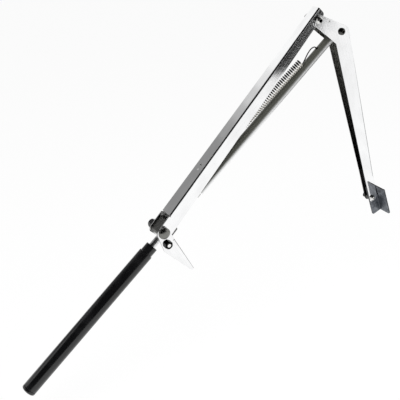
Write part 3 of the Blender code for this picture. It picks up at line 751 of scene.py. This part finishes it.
# %% Cylinder
NECK_TOP, SHOULDER, CYLINDER_END = 433.0 * MM, 446.5 * MM, 714.0 * MM
CYLINDER_R, BORE_R, NECK_R = 11.0 * MM, 9.0 * MM, 9.5 * MM
NIPPLE_R, NIPPLE_BORE_R, NIPPLE_TOP = 5.7 * MM, 4.4 * MM, 380.0 * MM
crimp, plug_start, plug_r = CYLINDER_END - 6 * MM, CYLINDER_END - 16 * MM, BORE_R - GAP
neck_foot, neck_bore_r = SHOULDER + 14 * MM, NIPPLE_R + GAP
show_turned("cylinder_tube_gloss", [(CYLINDER_R, crimp, 0.6 * MM), (CYLINDER_R, SHOULDER, 1.4 * MM),
                                    (BORE_R, SHOULDER, 0.3 * MM), (BORE_R, crimp, 0.3 * MM)],
            on_line, "base", lacquer, "black_lacquer", "cylinder_tube")
show_turned("cylinder_end_gloss", [(0.0, plug_start, 0), (plug_r, plug_start, 0.3 * MM),
                                   (plug_r, crimp + GAP, 0), (CYLINDER_R, crimp + GAP, 0.6 * MM),
                                   (CYLINDER_R, CYLINDER_END - 0.6 * MM, 3.0 * MM), (0.0, CYLINDER_END, 0)],
            on_line, "base", lacquer, "black_lacquer", "cylinder_end_plug", solid=True)
show_turned("cylinder_neck_gloss", [(plug_r, neck_foot, 0.3 * MM), (plug_r, SHOULDER - GAP, 0),
                                    (NECK_R, SHOULDER - GAP, 0.4 * MM), (NECK_R, NECK_TOP, 1.2 * MM),
                                    (neck_bore_r, NECK_TOP, 0.3 * MM), (neck_bore_r, neck_foot, 0.3 * MM)],
            on_line, "base", lacquer, "black_lacquer", "cylinder_neck")
show_turned("nipple_barrel", ring_section(2 * NIPPLE_R - 0.5 * MM, 2 * NIPPLE_BORE_R, NIPPLE_TOP,
                                          SHOULDER + 12 * MM),
            on_line, "base", nipple_zinc, "bright_zinc", "threaded_nipple")

# %% [markdown]
# ### Thread by Geometry Nodes
# A thread is one ridge that follows a rule: so many turns, so far apart. Geometry Nodes wind a
# Spiral of that pitch and sweep a small four-sided profile along it. The sizes are inputs, so the
# same tree can cut any thread.

# %% Helpers for Geometry Nodes
def socket_id(tree, name):
    """Identifier of a named input of a node group."""
    return next(i.identifier for i in tree.interface.items_tree
                if i.item_type == "SOCKET" and i.in_out == "INPUT" and i.name == name)


def new_tree(name, inputs):
    """A Geometry Nodes tree with geometry in and out and the inputs named."""
    tree = bpy.data.node_groups.new(name, "GeometryNodeTree")
    tree.interface.new_socket("Geometry", in_out="INPUT", socket_type="NodeSocketGeometry")
    for label, kind in inputs:
        tree.interface.new_socket(label, in_out="INPUT", socket_type=f"NodeSocket{kind}")
    tree.interface.new_socket("Geometry", in_out="OUTPUT", socket_type="NodeSocketGeometry")
    source, result = tree.nodes.new("NodeGroupInput"), tree.nodes.new("NodeGroupOutput")
    return tree, source, result


def close_tree(tree, source, result, geometry):
    """Realize the instances, set the finish and lead to the output."""
    real = tree.nodes.new("GeometryNodeRealizeInstances")
    finish = tree.nodes.new("GeometryNodeSetMaterial")
    tree.links.new(geometry, real.inputs["Geometry"])
    tree.links.new(real.outputs["Geometry"], finish.inputs["Geometry"])
    tree.links.new(source.outputs["Finish"], finish.inputs["Material"])
    tree.links.new(finish.outputs["Geometry"], result.inputs["Geometry"])


def run_tree(tree, name, seed_data, place, **values):
    """Mesh that a tree makes from seed data, with its named inputs set."""
    obj = draft(name, seed_data)
    modifier = obj.modifiers.new("tree", "NODES")
    modifier.node_group = tree
    for label, value in values.items():
        modifier[socket_id(tree, label)] = value
    mesh = evaluated_mesh(obj, place)
    mesh.name = name
    return mesh

# %% Thread
thread_tree, source, result = new_tree("thread_ridge", [
    ("Length", "Float"), ("Pitch", "Float"), ("Radius", "Float"), ("Ridge", "Float"),
    ("Finish", "Material")])
turns = thread_tree.nodes.new("ShaderNodeMath")
turns.operation = "DIVIDE"
spiral = thread_tree.nodes.new("GeometryNodeCurveSpiral")
spiral.inputs["Resolution"].default_value = 40
profile = thread_tree.nodes.new("GeometryNodeCurvePrimitiveCircle")
profile.inputs["Resolution"].default_value = 4
sweep = thread_tree.nodes.new("GeometryNodeCurveToMesh")
sweep.inputs["Fill Caps"].default_value = True
for output, socket in ((source.outputs["Length"], turns.inputs[0]),
                       (source.outputs["Pitch"], turns.inputs[1]),
                       (turns.outputs["Value"], spiral.inputs["Rotations"]),
                       (source.outputs["Radius"], spiral.inputs["Start Radius"]),
                       (source.outputs["Radius"], spiral.inputs["End Radius"]),
                       (source.outputs["Length"], spiral.inputs["Height"]),
                       (source.outputs["Ridge"], profile.inputs["Radius"]),
                       (spiral.outputs["Curve"], sweep.inputs["Curve"]),
                       (profile.outputs["Curve"], sweep.inputs["Profile Curve"])):
    thread_tree.links.new(output, socket)
close_tree(thread_tree, source, result, sweep.outputs["Mesh"])
nipple_thread = run_tree(thread_tree, "nipple_thread", bpy.data.meshes.new("nipple_seed"),
                         on_line @ Matrix.Translation((0.0, 0.0, NIPPLE_TOP + MM)),
                         Length=36.0 * MM, Pitch=1.5 * MM, Radius=NIPPLE_R - 0.3 * MM, Ridge=0.5 * MM,
                         Finish=nipple_zinc)
show("nipple_thread", nipple_thread, "base", nipple_zinc, "bright_zinc", "threaded_nipple")

# %% [markdown]
# ## Push tube and piston
# The piston's plain rod ends in a domed cap. The cap bears on the plug in the push tube's mouth,
# and the tube is drilled for the push pin and for the spring's upper hook. A Boolean does the
# drilling, because a hole meets the round wall in a curve that is hard to draw.

# %% Push tube and piston
TUBE_WALL, TUBE_TOP, TUBE_END, HOOK_HOLE = 1.2 * MM, -7.0 * MM, 325.0 * MM, 43.3 * MM
tube_section = ring_section(2 * TUBE_R, 2 * (TUBE_R - TUBE_WALL), TUBE_TOP, TUBE_END, 0.4 * MM)
tube_draft = draft("push_tube", turned("push_tube", tube_section, ALONG_X))
tube_bits = draft("tube_bits", drill_bits([((0.0, 0.0, 0.0), BOLT_HOLE, ACROSS),
                                           ((HOOK_HOLE, 0.0, -TUBE_R - 27 * MM), 5.0 * MM, UPRIGHT)]))
tube_drill = tube_draft.modifiers.new("holes", "BOOLEAN")
tube_drill.object = tube_bits
tube_drill.solver = "EXACT"
show("push_tube_bright", evaluated_mesh(tube_draft, push_line, tube_bits), "push_arm", tube_zinc,
     "bright_zinc", "push_tube")
show_turned("push_plug_turned",
            bar_section(TUBE_R - TUBE_WALL - GAP, TUBE_END - 14 * MM, TUBE_END, 0.5 * MM, 0.3 * MM),
            on_line, "push_arm", bolt_steel, "bolt_steel", "push_plug", solid=True)
ROD_R, CAP_R, ROD_END = 4.0 * MM, 5.5 * MM, 512.0 * MM
rod_tip, cap_top = TUBE_END + 9 * MM, TUBE_END + 1.0 * MM
show_turned("piston_rod_bright", bar_section(ROD_R, rod_tip, ROD_END, 0.2 * MM, 1.0 * MM),
            on_line, "piston", bolt_steel, "bolt_steel", "piston_rod", solid=True)
show_turned("thrust_cap_domed", [(0.0, cap_top, 0), (CAP_R, cap_top + 0.6 * MM, 2.0 * MM),
                                 (CAP_R, rod_tip - GAP, 0.4 * MM), (0.0, rod_tip - GAP, 0)],
            on_line, "piston", bolt_steel, "bolt_steel", "thrust_cap", solid=True)

# %% [markdown]
# ## Sleeves and washers
# Small rings keep the arms apart on their bolts. Each one is a turned ring between two faces, and
# they all take the same few lines.

# %% Sleeves and washers
knee_outer, knee_inner = base_half_width(KNEE[0]), lift_half_width(0.0) - SHEET
pin_inner = lift_half_width(PUSH_PIN[0]) - SHEET
window_inner = lift_half_width(LIFT_LENGTH) - SHEET
foot_side, foot_flange = base_half_width(0.0), -(FRAME_FLANGE_Y + BRACKET_SHEET)
knee_sleeve = knee_outer - SHEET - GAP
at_pin = lift @ Matrix.Translation((PUSH_PIN[0], 0.0, PUSH_PIN[1]))
at_window = lift @ Matrix.Translation((LIFT_LENGTH, 0.0, 0.0))
rings = [
    ("knee_washer_front", 12, (-knee_inner, -knee_outer), lift, "lift_arm", bolt_steel),
    ("knee_washer_back", 12, (knee_outer, knee_inner), lift, "lift_arm", bolt_steel),
    ("knee_sleeve", 9, (-knee_sleeve, knee_sleeve), lift, "lift_arm", bolt_steel),
    ("push_spacer_front", 11, (-pin_inner, -TUBE_R), at_pin, "push_arm", bolt_steel),
    ("push_spacer_back", 11, (TUBE_R, pin_inner), at_pin, "push_arm", bolt_steel),
    # Painted shade: the window spacer is dark steel, standing in for the shade between the lift arm's ears.
    ("window_spacer", 10, (WINDOW_LEAF_Y, window_inner), at_window, "lift_arm", dark_bolt_steel),
    ("foot_spacer", 14, (-foot_flange, -foot_side), base, "base", bolt_steel),
]
for node, outer, (near, far), place, body, finish in rings:
    section = ring_section(outer * MM, BOLT_HOLE, -(far - GAP), -(near + GAP), 0.2 * MM)
    show_turned(node + "_turned", section, place @ FRONT, body, finish, "bright_zinc", node, steps=64)

# %% [markdown]
# ## Bolts and nuts by Geometry Nodes
# The knee, the push pin and the window end have the same kind of bolt, so a head, a nut and a
# threaded end are drawn by one function each. Geometry Nodes set a copy of such a pattern on each
# point of a small point cloud, scaled by the size that the point carries, and realize the copies
# into one mesh. Bolts and nuts of another finish are a set of their own.

# %% Bolt heads
def hexagon(across, low, high):
    """Draft of a six-sided bar about Z."""
    bm = bmesh.new()
    bmesh.ops.create_cone(bm, cap_ends=True, segments=6, radius1=across / math.sqrt(3),
                          radius2=across / math.sqrt(3), depth=high - low,
                          matrix=Matrix.Translation((0.0, 0.0, (low + high) / 2)))
    return mesh_from(bm, "hexagon")


def carved(name, mesh, tool, operation):
    """The mesh cut by a tool, or what the two have in common."""
    obj, bit = draft(name, mesh), draft(name + "_tool", tool)
    boolean = obj.modifiers.new("carve", "BOOLEAN")
    boolean.operation = operation
    boolean.solver = "EXACT"
    boolean.object = bit
    return evaluated_mesh(obj, Matrix.Identity(4), bit)


def round_head(diameter, height, socket):
    """Domed bolt head with a hexagon socket, seated at zero and facing up."""
    corners = [(0.0, height, 0), (diameter * 0.30, height * 0.96, 1.2 * MM),
               (diameter * 0.47, height * 0.50, 1.0 * MM), (diameter * 0.5, height * 0.12, 0.3 * MM),
               (diameter * 0.5, 0.0, 0.1 * MM), (0.0, 0.0, 0)]
    dome = turned("round_head", corners, Matrix.Identity(4), solid=True, steps=64)
    return carved("round_head", dome, hexagon(socket, height * 0.45, height * 1.5), "DIFFERENCE")


def domed_head(diameter, height):
    """Plain domed head without a socket, seated at zero and facing up."""
    rim = height * 0.15
    arc = [math.radians(7.5 * k) for k in range(13)]
    corners = [(diameter / 2 * math.sin(a), rim + (height - rim) * math.cos(a), 0) for a in arc]
    corners += [(diameter / 2, 0.0, 0), (0.0, 0.0, 0)]
    return turned("domed_head", corners, Matrix.Identity(4), solid=True, steps=72)


def hexagon_head(across, height):
    """Hexagon head with its corners turned off in front, seated at zero and facing up."""
    edge = across * 0.5
    blank = [(0.0, height, 0), (edge * 0.96, height, 0.2 * MM), (edge * 1.17, height * 0.76, 0),
             (edge * 1.17, 0.0, 0), (0.0, 0.0, 0)]
    return carved("hexagon_head", turned("head_blank", blank, Matrix.Identity(4), solid=True, steps=72),
                  hexagon(across, -height, 2 * height), "INTERSECT")

# %% Nuts and thread ends
def chamfered_nut(across, height, bore):
    """Hexagon nut from zero upwards: the corners are turned off top and bottom."""
    edge = across * 0.5
    cut = [(bore / 2, 0.0, 0.2 * MM), (edge * 0.97, 0.0, 0), (edge * 1.17, height * 0.16, 0),
           (edge * 1.17, height * 0.84, 0), (edge * 0.97, height, 0), (bore / 2, height, 0.2 * MM)]
    return carved("chamfered_nut", turned("nut_blank", cut, Matrix.Identity(4), steps=72),
                  hexagon(across, -height, 2 * height), "INTERSECT")


def threaded_end(diameter, length, pitch=1.0 * MM):
    """Shank with thread grooves from zero upwards."""
    radius = diameter / 2
    corners = [(0.0, length, 0), (radius - 0.8 * MM, length, 0.1 * MM)]
    count = int((length - 0.8 * MM) / pitch)
    for k in range(count):
        top = length - 0.8 * MM - k * pitch
        corners += [(radius, top, 0), (radius - 0.45 * MM, top - pitch * 0.55, 0)]
    corners += [(radius, 0.0, 0), (0.0, 0.0, 0)]
    return turned("threaded_end", corners, Matrix.Identity(4), solid=True, steps=48)


HEAD, HEAD_HEIGHT, SOCKET, WINDOW_HEAD = 11.0 * MM, 4.6 * MM, 4.0 * MM, 10.0 * MM
NUT_ACROSS, NUT_HEIGHT, THREAD, BOLT_STEPS = 10.0 * MM, 5.0 * MM, BOLT - 0.1 * MM, 48
BACK = Matrix.Rotation(math.radians(-90.0), 4, "X")

# %% Fastener tree
fastener_tree, source, result = new_tree("fastener_set", [("Pattern", "Object"), ("Finish", "Material")])
pattern = fastener_tree.nodes.new("GeometryNodeObjectInfo")
pattern.inputs["As Instance"].default_value = True
size = fastener_tree.nodes.new("GeometryNodeInputNamedAttribute")
size.data_type = "FLOAT"
size.inputs["Name"].default_value = "size"
copies = fastener_tree.nodes.new("GeometryNodeInstanceOnPoints")
for output, socket in ((source.outputs["Geometry"], copies.inputs["Points"]),
                       (source.outputs["Pattern"], pattern.inputs["Object"]),
                       (pattern.outputs["Geometry"], copies.inputs["Instance"]),
                       (size.outputs["Attribute"], copies.inputs["Scale"])):
    fastener_tree.links.new(output, socket)
close_tree(fastener_tree, source, result, copies.outputs["Instances"])
print("fastener tree of", len(fastener_tree.nodes), "nodes")


def show_fasteners(name, pattern_mesh, facing, spots, body, finish, slot, *nodes):
    """Show copies of one pattern on spots (place, distance along Y, size)."""
    pattern_mesh.transform(facing)
    pattern_object = draft(name + "_pattern", pattern_mesh)
    points = bpy.data.meshes.new(name + "_points")
    points.from_pydata([place @ Vector((0.0, y, 0.0)) for place, y, _ in spots], [], [])
    sizes = points.attributes.new("size", "FLOAT", "POINT")
    sizes.data.foreach_set("value", [scale for _, _, scale in spots])
    mesh = run_tree(fastener_tree, name, points, Matrix.Identity(4), Pattern=pattern_object, Finish=finish)
    bpy.data.objects.remove(pattern_object)
    show(name, mesh, body, finish, slot, *nodes)

# %% [markdown]
# The lift arm carries three bolts with their nuts. The knee bolt is bright round a socket painted
# black as painted shade, the push pin is dark, and the smaller bolt at the window end is bright
# with a dark nut. The foot bolt has a broad plain dome, and the long nut on its far side is blackened.

# %% Set the fasteners
arm_spots = [(lift, lift_half_width(0.0)), (at_pin, lift_half_width(PUSH_PIN[0])),
             (at_window, lift_half_width(LIFT_LENGTH))]
heads = [("knee_bolt_head", 1.0, knee_steel, "knee_bolt"),
         ("push_pin_head", 1.0, dark_bolt_steel, "push_pin_bolt"),
         ("window_bolt_head", WINDOW_HEAD / HEAD, polished_steel, "window_bolt")]
for (name, scale, finish, node), (place, side) in zip(heads, arm_spots):
    show_fasteners(name, round_head(HEAD, HEAD_HEIGHT, SOCKET), FRONT, [(place, -side - GAP, scale)],
                   "lift_arm", finish, "bolt_steel", node)
nut_spots = [(place, side + GAP, 1.0) for place, side in arm_spots]
show_fasteners("knee_nuts", chamfered_nut(NUT_ACROSS, NUT_HEIGHT, BOLT), BACK, nut_spots[:2],
               "lift_arm", bolt_steel, "bolt_steel", "knee_nut", "push_pin_nut")
show_fasteners("window_nut_dark", chamfered_nut(NUT_ACROSS, NUT_HEIGHT, BOLT), BACK, nut_spots[2:],
               "lift_arm", black_nut_steel, "blackened_steel", "window_nut")
INSET, ARM_END = 2.0 * MM, 9.6 * MM
end_spots = [(place, side - INSET, 1.0) for place, side in arm_spots]
show_fasteners("arm_bolt_ends", threaded_end(THREAD, ARM_END), BACK, end_spots[:2],
               "lift_arm", bolt_steel, "bolt_steel", "knee_bolt", "push_pin_bolt")
show_fasteners("window_bolt_end", threaded_end(THREAD, ARM_END), BACK, end_spots[2:],
               "lift_arm", black_nut_steel, "blackened_steel", "window_bolt")
for spot, (place, side) in zip(("knee", "push_pin", "window"), arm_spots):
    show_turned(spot + "_shank", bar_section(BOLT / 2, side + GAP, INSET - side), place @ FRONT,
                "lift_arm", bolt_steel, "bolt_steel", spot + "_bolt", solid=True, steps=BOLT_STEPS)

# %% Foot bolt and lock bolt
FOOT_HEAD, FOOT_NUT, FOOT_NUT_HEIGHT = 18.0 * MM, 13.0 * MM, 12.0 * MM
LOCK_HEAD, LOCK_HEAD_HEIGHT, LOCK_END, LOCK_INSET = 11.5 * MM, 5.0 * MM, 6.0 * MM, 3.4 * MM
flange_seat = FRAME_FLANGE_Y - GAP
show_fasteners("foot_bolt_head", domed_head(FOOT_HEAD, HEAD_HEIGHT), FRONT, [(base, flange_seat, 1.0)],
               "base", dull_head_steel, "bolt_steel", "foot_bolt")
show_turned("foot_bolt_shank", bar_section(BOLT / 2, -flange_seat, -foot_side), base @ FRONT,
            "base", bolt_steel, "bolt_steel", "foot_bolt", solid=True, steps=BOLT_STEPS)
show_fasteners("foot_bolt_end", threaded_end(THREAD, FOOT_NUT_HEIGHT), BACK, [(base, foot_side - MM, 1.0)],
               "base", black_nut_steel, "blackened_steel", "foot_bolt")
show_fasteners("foot_nut_black", chamfered_nut(FOOT_NUT, FOOT_NUT_HEIGHT, BOLT), BACK,
               [(base, foot_side + GAP, 1.0)], "base", black_nut_steel, "blackened_steel", "foot_nut")
at_lock = bracket @ Matrix.Translation((LOCK_BOLT[0], 0.0, LOCK_BOLT[1]))
# Painted shade: the lock bolt's head is painted black outside its bright middle.
lock_steel = cored_steel("lock_bolt_steel", at_lock.translation, 2.9 * MM, SHADE_BLACK, BRIGHT)
show_fasteners("lock_bolt_head", hexagon_head(LOCK_HEAD, LOCK_HEAD_HEIGHT), FRONT,
               [(at_lock, flange_seat, 1.0)], "frame_bracket", lock_steel, "bolt_steel", "lock_bolt")
show_fasteners("lock_bolt_end", threaded_end(THREAD, LOCK_END), BACK,
               [(at_lock, FRAME_FLANGE_Y - LOCK_INSET, 1.0)],
               "frame_bracket", bolt_steel, "bolt_steel", "lock_bolt")
NIPPLE_NUT, NIPPLE_NUT_HEIGHT, NIPPLE_NUT_AT = 17.0 * MM, 6.0 * MM, 381.0 * MM
nipple_nut = chamfered_nut(NIPPLE_NUT, NIPPLE_NUT_HEIGHT, 2 * NIPPLE_R)
nipple_nut.transform(on_line @ Matrix.Translation((0.0, 0.0, NIPPLE_NUT_AT)))
show("nipple_nut", nipple_nut, "base", nipple_zinc, "bright_zinc", "lock_nut")

# %% [markdown]
# ## The block between the ears
# The cylinder screws into a cast block. Its outline is filled as a flat face, given its width by
# Solidify, softened by a Bevel and bored for the foot bolt and the nipple.

# %% Receiver block
NIPPLE_BORE_AT = 401.5 * MM
block_width = 2 * (base_half_width(20 * MM) - SHEET - GAP) - 1.0 * MM
block_outline = rounded([(-8 * MM, -19.5 * MM, 3 * MM), (17 * MM, -20.5 * MM, 3 * MM),
                         (17 * MM, 5.5 * MM, 3 * MM), (-8 * MM, 5.5 * MM, 5 * MM)])
bm = bmesh.new()
bm.faces.new([bm.verts.new((x, -block_width / 2, z)) for x, z in block_outline])
block = draft("receiver_block", mesh_from(bm, "receiver_block"))
body_of_block = block.modifiers.new("width", "SOLIDIFY")
body_of_block.thickness = block_width
body_of_block.offset = -1.0
soft_edges = block.modifiers.new("edges", "BEVEL")
soft_edges.width = 0.9 * MM
soft_edges.segments = 3
soft_edges.limit_method = "ANGLE"
soft_edges.angle_limit = RIM_ANGLE
in_base = base.inverted() @ push_line
bores = drill_bits([((0.0, 0.0, 0.0), BOLT_HOLE, ACROSS),
                    (in_base @ Vector((NIPPLE_BORE_AT, 0.0, 0.0)), 2 * neck_bore_r,
                     in_base.to_3x3() @ Vector((1.0, 0.0, 0.0)))])
block_bits = draft("block_bits", bores)
bore = block.modifiers.new("bores", "BOOLEAN")
bore.object = block_bits
bore.solver = "EXACT"
show("receiver_block", evaluated_mesh(block, base, block_bits), "base", cast_zinc, "cast_zinc",
     "cylinder_receiver")

# %% [markdown]
# ## Return spring
# The spring is one wire: a hook through the base channel's web, a long run of coils, and a hook
# into the push tube. Its path is a row of points, which Geometry Nodes smooth into a curve and
# sweep with a round profile. The side of the coils next to the channel's web and their inside are
# painted black as painted shade, and the hooks are painted black too. How dark each point is
# painted is kept as an attribute of the mesh.

# %% Spring tree
wire_tree, source, result = new_tree("wound_wire", [("Wire", "Float"), ("Finish", "Material")])
smooth = wire_tree.nodes.new("GeometryNodeCurveSplineType")
smooth.spline_type = "CATMULL_ROM"
finer = wire_tree.nodes.new("GeometryNodeSetSplineResolution")
finer.inputs["Resolution"].default_value = 2
wire_profile = wire_tree.nodes.new("GeometryNodeCurvePrimitiveCircle")
wire_profile.inputs["Resolution"].default_value = 12
wind = wire_tree.nodes.new("GeometryNodeCurveToMesh")
wind.inputs["Fill Caps"].default_value = True
for output, socket in ((source.outputs["Geometry"], smooth.inputs["Curve"]),
                       (smooth.outputs["Curve"], finer.inputs[0]),
                       (finer.outputs[0], wind.inputs["Curve"]),
                       (source.outputs["Wire"], wire_profile.inputs["Radius"]),
                       (wire_profile.outputs["Curve"], wind.inputs["Profile Curve"])):
    wire_tree.links.new(output, socket)
close_tree(wire_tree, source, result, wind.outputs["Mesh"])
print("wire tree of", len(wire_tree.nodes), "nodes")

# %% Path of the spring
SPRING_FOOT, SPRING_HEAD = Vector((132.5, 0.0, -3.7)) * MM, Vector((326.9, -5.35, -26.2)) * MM
COIL_R, WIRE_R, COILS, POINTS_PER_COIL = 5.1 * MM, 0.9 * MM, 53.5, 16
lower_hook = [(SPRING_HOLES[1], WEB_FACE + 0.4 * MM), (SPRING_HOLES[1], 5.0 * MM), (115.2 * MM, 2.6 * MM),
              (118.5 * MM, 1.6 * MM), (124.0 * MM, 1.4 * MM)]
upper_hook = [(334.4, -5.35, -29.8), (343.9, -3.8, -28.8), (352.8, -2.3, -29.6), (358.3, -0.8, -32.8),
              (360.9, 0.0, -36.5), (361.3, 0.0, -45.0)]
spring_line = (SPRING_HEAD - SPRING_FOOT).normalized()
coil_up = Vector((0.0, 1.0, 0.0)).cross(spring_line).normalized()
coil_up *= math.copysign(1.0, coil_up.z)
coil_side = spring_line.cross(coil_up)
coil_side *= math.copysign(1.0, coil_side.y)
wire_path = [Vector((x, 0.0, z)) for x, z in lower_hook]
coil_points = round(COILS * POINTS_PER_COIL)
for i in range(coil_points + 1):
    angle = math.tau * COILS * i / coil_points
    coil_middle = SPRING_FOOT.lerp(SPRING_HEAD, i / coil_points)
    wire_path.append(coil_middle + COIL_R * (math.cos(angle) * coil_up + math.sin(angle) * coil_side))
wire_path += [Vector(spot) * MM for spot in upper_hook]
print("spring path of", len(wire_path), "points")

# %% Wind the spring and paint its shade
wire_curve = bpy.data.curves.new("return_spring_wire", "CURVE")
wire_curve.dimensions = "3D"
spline = wire_curve.splines.new("POLY")
spline.points.add(len(wire_path) - 1)
for point, spot in zip(spline.points, wire_path):
    point.co = (*spot, 1.0)
spring_mesh = run_tree(wire_tree, "return_spring_wire", wire_curve, base, Wire=WIRE_R, Finish=spring_steel)
spring_mesh.shade_smooth()
# Painted shade: points on the coils' upper side and inside are painted black; the hooks are painted black
# too.
UPPER_FROM, UPPER_BLUR, INNER_FROM, INNER_BLUR = 0.36, 0.18, 0.10, 0.25
to_base = base.inverted()
turn_to_base = to_base.to_3x3()
spring_run = (SPRING_HEAD - SPRING_FOOT).length
painted_black = []
for vertex in spring_mesh.vertices:
    spot = to_base @ vertex.co - SPRING_FOOT
    along = spot.dot(spring_line)
    outward = (spot - along * spring_line).normalized()
    upper_side = (outward.dot(coil_up) - UPPER_FROM) / UPPER_BLUR
    inner_side = (INNER_FROM - (turn_to_base @ vertex.normal).dot(outward)) / INNER_BLUR
    on_hook = 0.0 if 0.0 < along < spring_run else 1.0
    painted_black.append(min(1.0, max(0.0, upper_side, inner_side, on_hook)))
spring_mesh.attributes.new("painted_black", "FLOAT", "POINT").data.foreach_set("value", painted_black)
spring = bpy.data.objects.new("return_spring_wire", spring_mesh)
scene.collection.objects.link(spring)
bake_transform(spring)
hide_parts("return_spring")
print("spring wire", len(spring_mesh.polygons), "faces")

# %% [markdown]
# ## Studio
# The opener hangs over a plain white floor under a white sky, high enough for the cylinder to swing
# clear of the paper. Bright steel shows what is round it more than its own colour, so the studio
# matters: white paper below gives the white flanges, a grey card up behind the left gives the grey
# web, and four lighter strips along the card's upper edge let that grey fade out towards the knee.
# The dark room behind the camera, with its ceiling, draws the black line along every bend. A dark
# strip on the paper shades the base channel's flange near the knee, and a grey patch tones the
# underside of the push tube and the bends that look to the right. The cards are seen only in
# reflections.

# %% Floor
FLOOR_SIZE, FLOOR_DROP, GLOW_SHARE = 30.0, 78.0 * MM, 0.82


def seen_directly(tree):
    """A socket with 1 for rays of the camera and of reflections, and 0 for all others."""
    rays = tree.nodes.new("ShaderNodeLightPath")
    either = tree.nodes.new("ShaderNodeMath")
    either.operation = "MAXIMUM"
    tree.links.new(rays.outputs["Is Camera Ray"], either.inputs[0])
    tree.links.new(rays.outputs["Is Glossy Ray"], either.inputs[1])
    return either.outputs[0]


low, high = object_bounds()
bm = bmesh.new()
bmesh.ops.create_grid(bm, x_segments=1, y_segments=1, size=FLOOR_SIZE)
floor = bpy.data.objects.new("floor", mesh_from(bm, "floor"))
floor.location = (0.0, 0.0, low.z - FLOOR_DROP)
scene.collection.objects.link(floor)
paper = bpy.data.materials.new("white_paper")
paper.use_nodes = True
paper_nodes, paper_links = paper.node_tree.nodes, paper.node_tree.links
paper_shader = paper_nodes["Principled BSDF"]
paper_shader.inputs["Base Color"].default_value = (0.95, 0.95, 0.95, 1.0)
paper_shader.inputs["Roughness"].default_value = 0.9
glow = paper_nodes.new("ShaderNodeEmission")
glow.inputs["Strength"].default_value = 1.0
share = paper_nodes.new("ShaderNodeMath")
share.operation = "MULTIPLY"
share.inputs[1].default_value = GLOW_SHARE
mix = paper_nodes.new("ShaderNodeMixShader")
paper_links.new(seen_directly(paper.node_tree), share.inputs[0])
paper_links.new(share.outputs[0], mix.inputs[0])
paper_links.new(paper_shader.outputs[0], mix.inputs[1])
paper_links.new(glow.outputs[0], mix.inputs[2])
paper_links.new(mix.outputs[0], paper_nodes["Material Output"].inputs["Surface"])
floor.data.materials.append(paper)
print("floor at height", round(floor.location.z, 4))

# %% Sky
SKY_LIGHT = 0.8
world = bpy.data.worlds.new("white_sky")
world.use_nodes = True
sky = world.node_tree.nodes["Background"]
sky.inputs["Color"].default_value = (1.0, 1.0, 1.0, 1.0)
sky_level = spread(world.node_tree, seen_directly(world.node_tree), SKY_LIGHT, 1.0, 0.0, 1.0)
world.node_tree.links.new(sky_level, sky.inputs["Strength"])
scene.world = world
print("white sky that lights at", SKY_LIGHT)

# %% Lamps
def lamp(name, place, target, size, power):
    """A square lamp that looks at a target and stays out of reflections."""
    data = bpy.data.lights.new(name, "AREA")
    data.size = size
    data.energy = power
    obj = bpy.data.objects.new(name, data)
    obj.location = place
    obj.rotation_euler = (Vector(target) - Vector(place)).to_track_quat("-Z", "Y").to_euler()
    obj.visible_glossy = False
    scene.collection.objects.link(obj)


middle = (low + high) / 2
lamp("key", (-0.9, -0.9, 1.5), middle, 1.0, 16.0)
lamp("fill", (1.3, -0.8, 0.9), middle, 1.2, 6.0)
print("two lamps look at", [round(v, 3) for v in middle])

# %% Reflection cards
def card(name, corners, level):
    """A flat card of one grey level that only reflections see."""
    bm = bmesh.new()
    bm.faces.new([bm.verts.new(corner) for corner in corners])
    obj = bpy.data.objects.new(name, mesh_from(bm, name))
    material = bpy.data.materials.new(name)
    material.use_nodes = True
    shine = material.node_tree.nodes.new("ShaderNodeEmission")
    shine.inputs["Color"].default_value = (level, level, level, 1.0)
    output = material.node_tree.nodes["Material Output"]
    material.node_tree.links.new(shine.outputs[0], output.inputs["Surface"])
    obj.data.materials.append(material)
    obj.visible_camera = False
    obj.visible_diffuse = False
    obj.visible_shadow = False
    obj.visible_transmission = False
    scene.collection.objects.link(obj)
    return obj


def grey_band(name, start, end, level):
    """A strip of the grey card between two shares of its height, counted from its upper edge."""
    rows = [[(x + GREY_FALL_X * part, GREY_Y, z + fall * part) for x, z, fall in GREY_EDGE]
            for part in (start, end)]
    return card(name, rows[0] + rows[1][::-1], level)


# Each end of the card's upper edge: x, z and how far that side falls.
GREY_EDGE = ((-1.01, 1.565, -0.805), (0.28, 0.325, -0.495))
GREY_FALL_X, GREY_Y, FADE = -0.83, 1.2, 0.14
DARK, STRIP_TONE, GREY, FADE_TONES, PATCH_TONE = 0.02, 0.03, 0.28, (0.36, 0.48, 0.64, 0.82), 0.27
BEHIND, LEFT, CEILING = -2.3, -2.6, 3.2
ground = low.z + 1.5 * MM
room = card("dark_room", [(-5.0, BEHIND, ground), (1.3, BEHIND, ground), (1.3, BEHIND, 0.9),
                          (3.0, BEHIND, 0.9), (3.0, BEHIND, 3.6), (-5.0, BEHIND, 3.6)], DARK)
side_room = card("dark_side", [(LEFT, BEHIND, ground), (LEFT, 0.3, ground), (LEFT, 0.3, 1.6),
                               (LEFT, 2.4, 2.0), (LEFT, 2.4, CEILING), (LEFT, BEHIND, CEILING)], DARK)
greys = [grey_band("grey_card", FADE, 1.0, GREY)]
for step, level in enumerate(FADE_TONES):
    end = FADE * (1 - step / 2)
    greys.append(grey_band(f"grey_fade_{step}", end - FADE / 2, end, level))
strip = card("floor_strip", [(0.75, -1.77, ground), (1.22, -1.27, ground), (1.90, -1.93, ground),
                             (3.00, -2.75, ground), (2.30, -3.39, ground)], STRIP_TONE)
ceiling = card("dark_ceiling", [(LEFT, BEHIND, CEILING), (3.0, BEHIND, CEILING), (3.0, 0.9, CEILING),
                                (0.0, 2.9, CEILING), (LEFT, 2.9, CEILING)], DARK)
front = card("floor_front", [(-1.5, BEHIND, ground), (0.4, BEHIND, ground), (0.4, -1.3, ground),
                             (-1.5, -1.3, ground)], DARK)
patch = card("floor_patch", [(0.7, -0.15, ground), (1.2, -0.75, ground), (3.4, -0.75, ground),
                             (3.4, 0.6, ground), (0.7, 0.6, ground)], PATCH_TONE)
print("grey card in", len(greys), "strips, with six other cards")
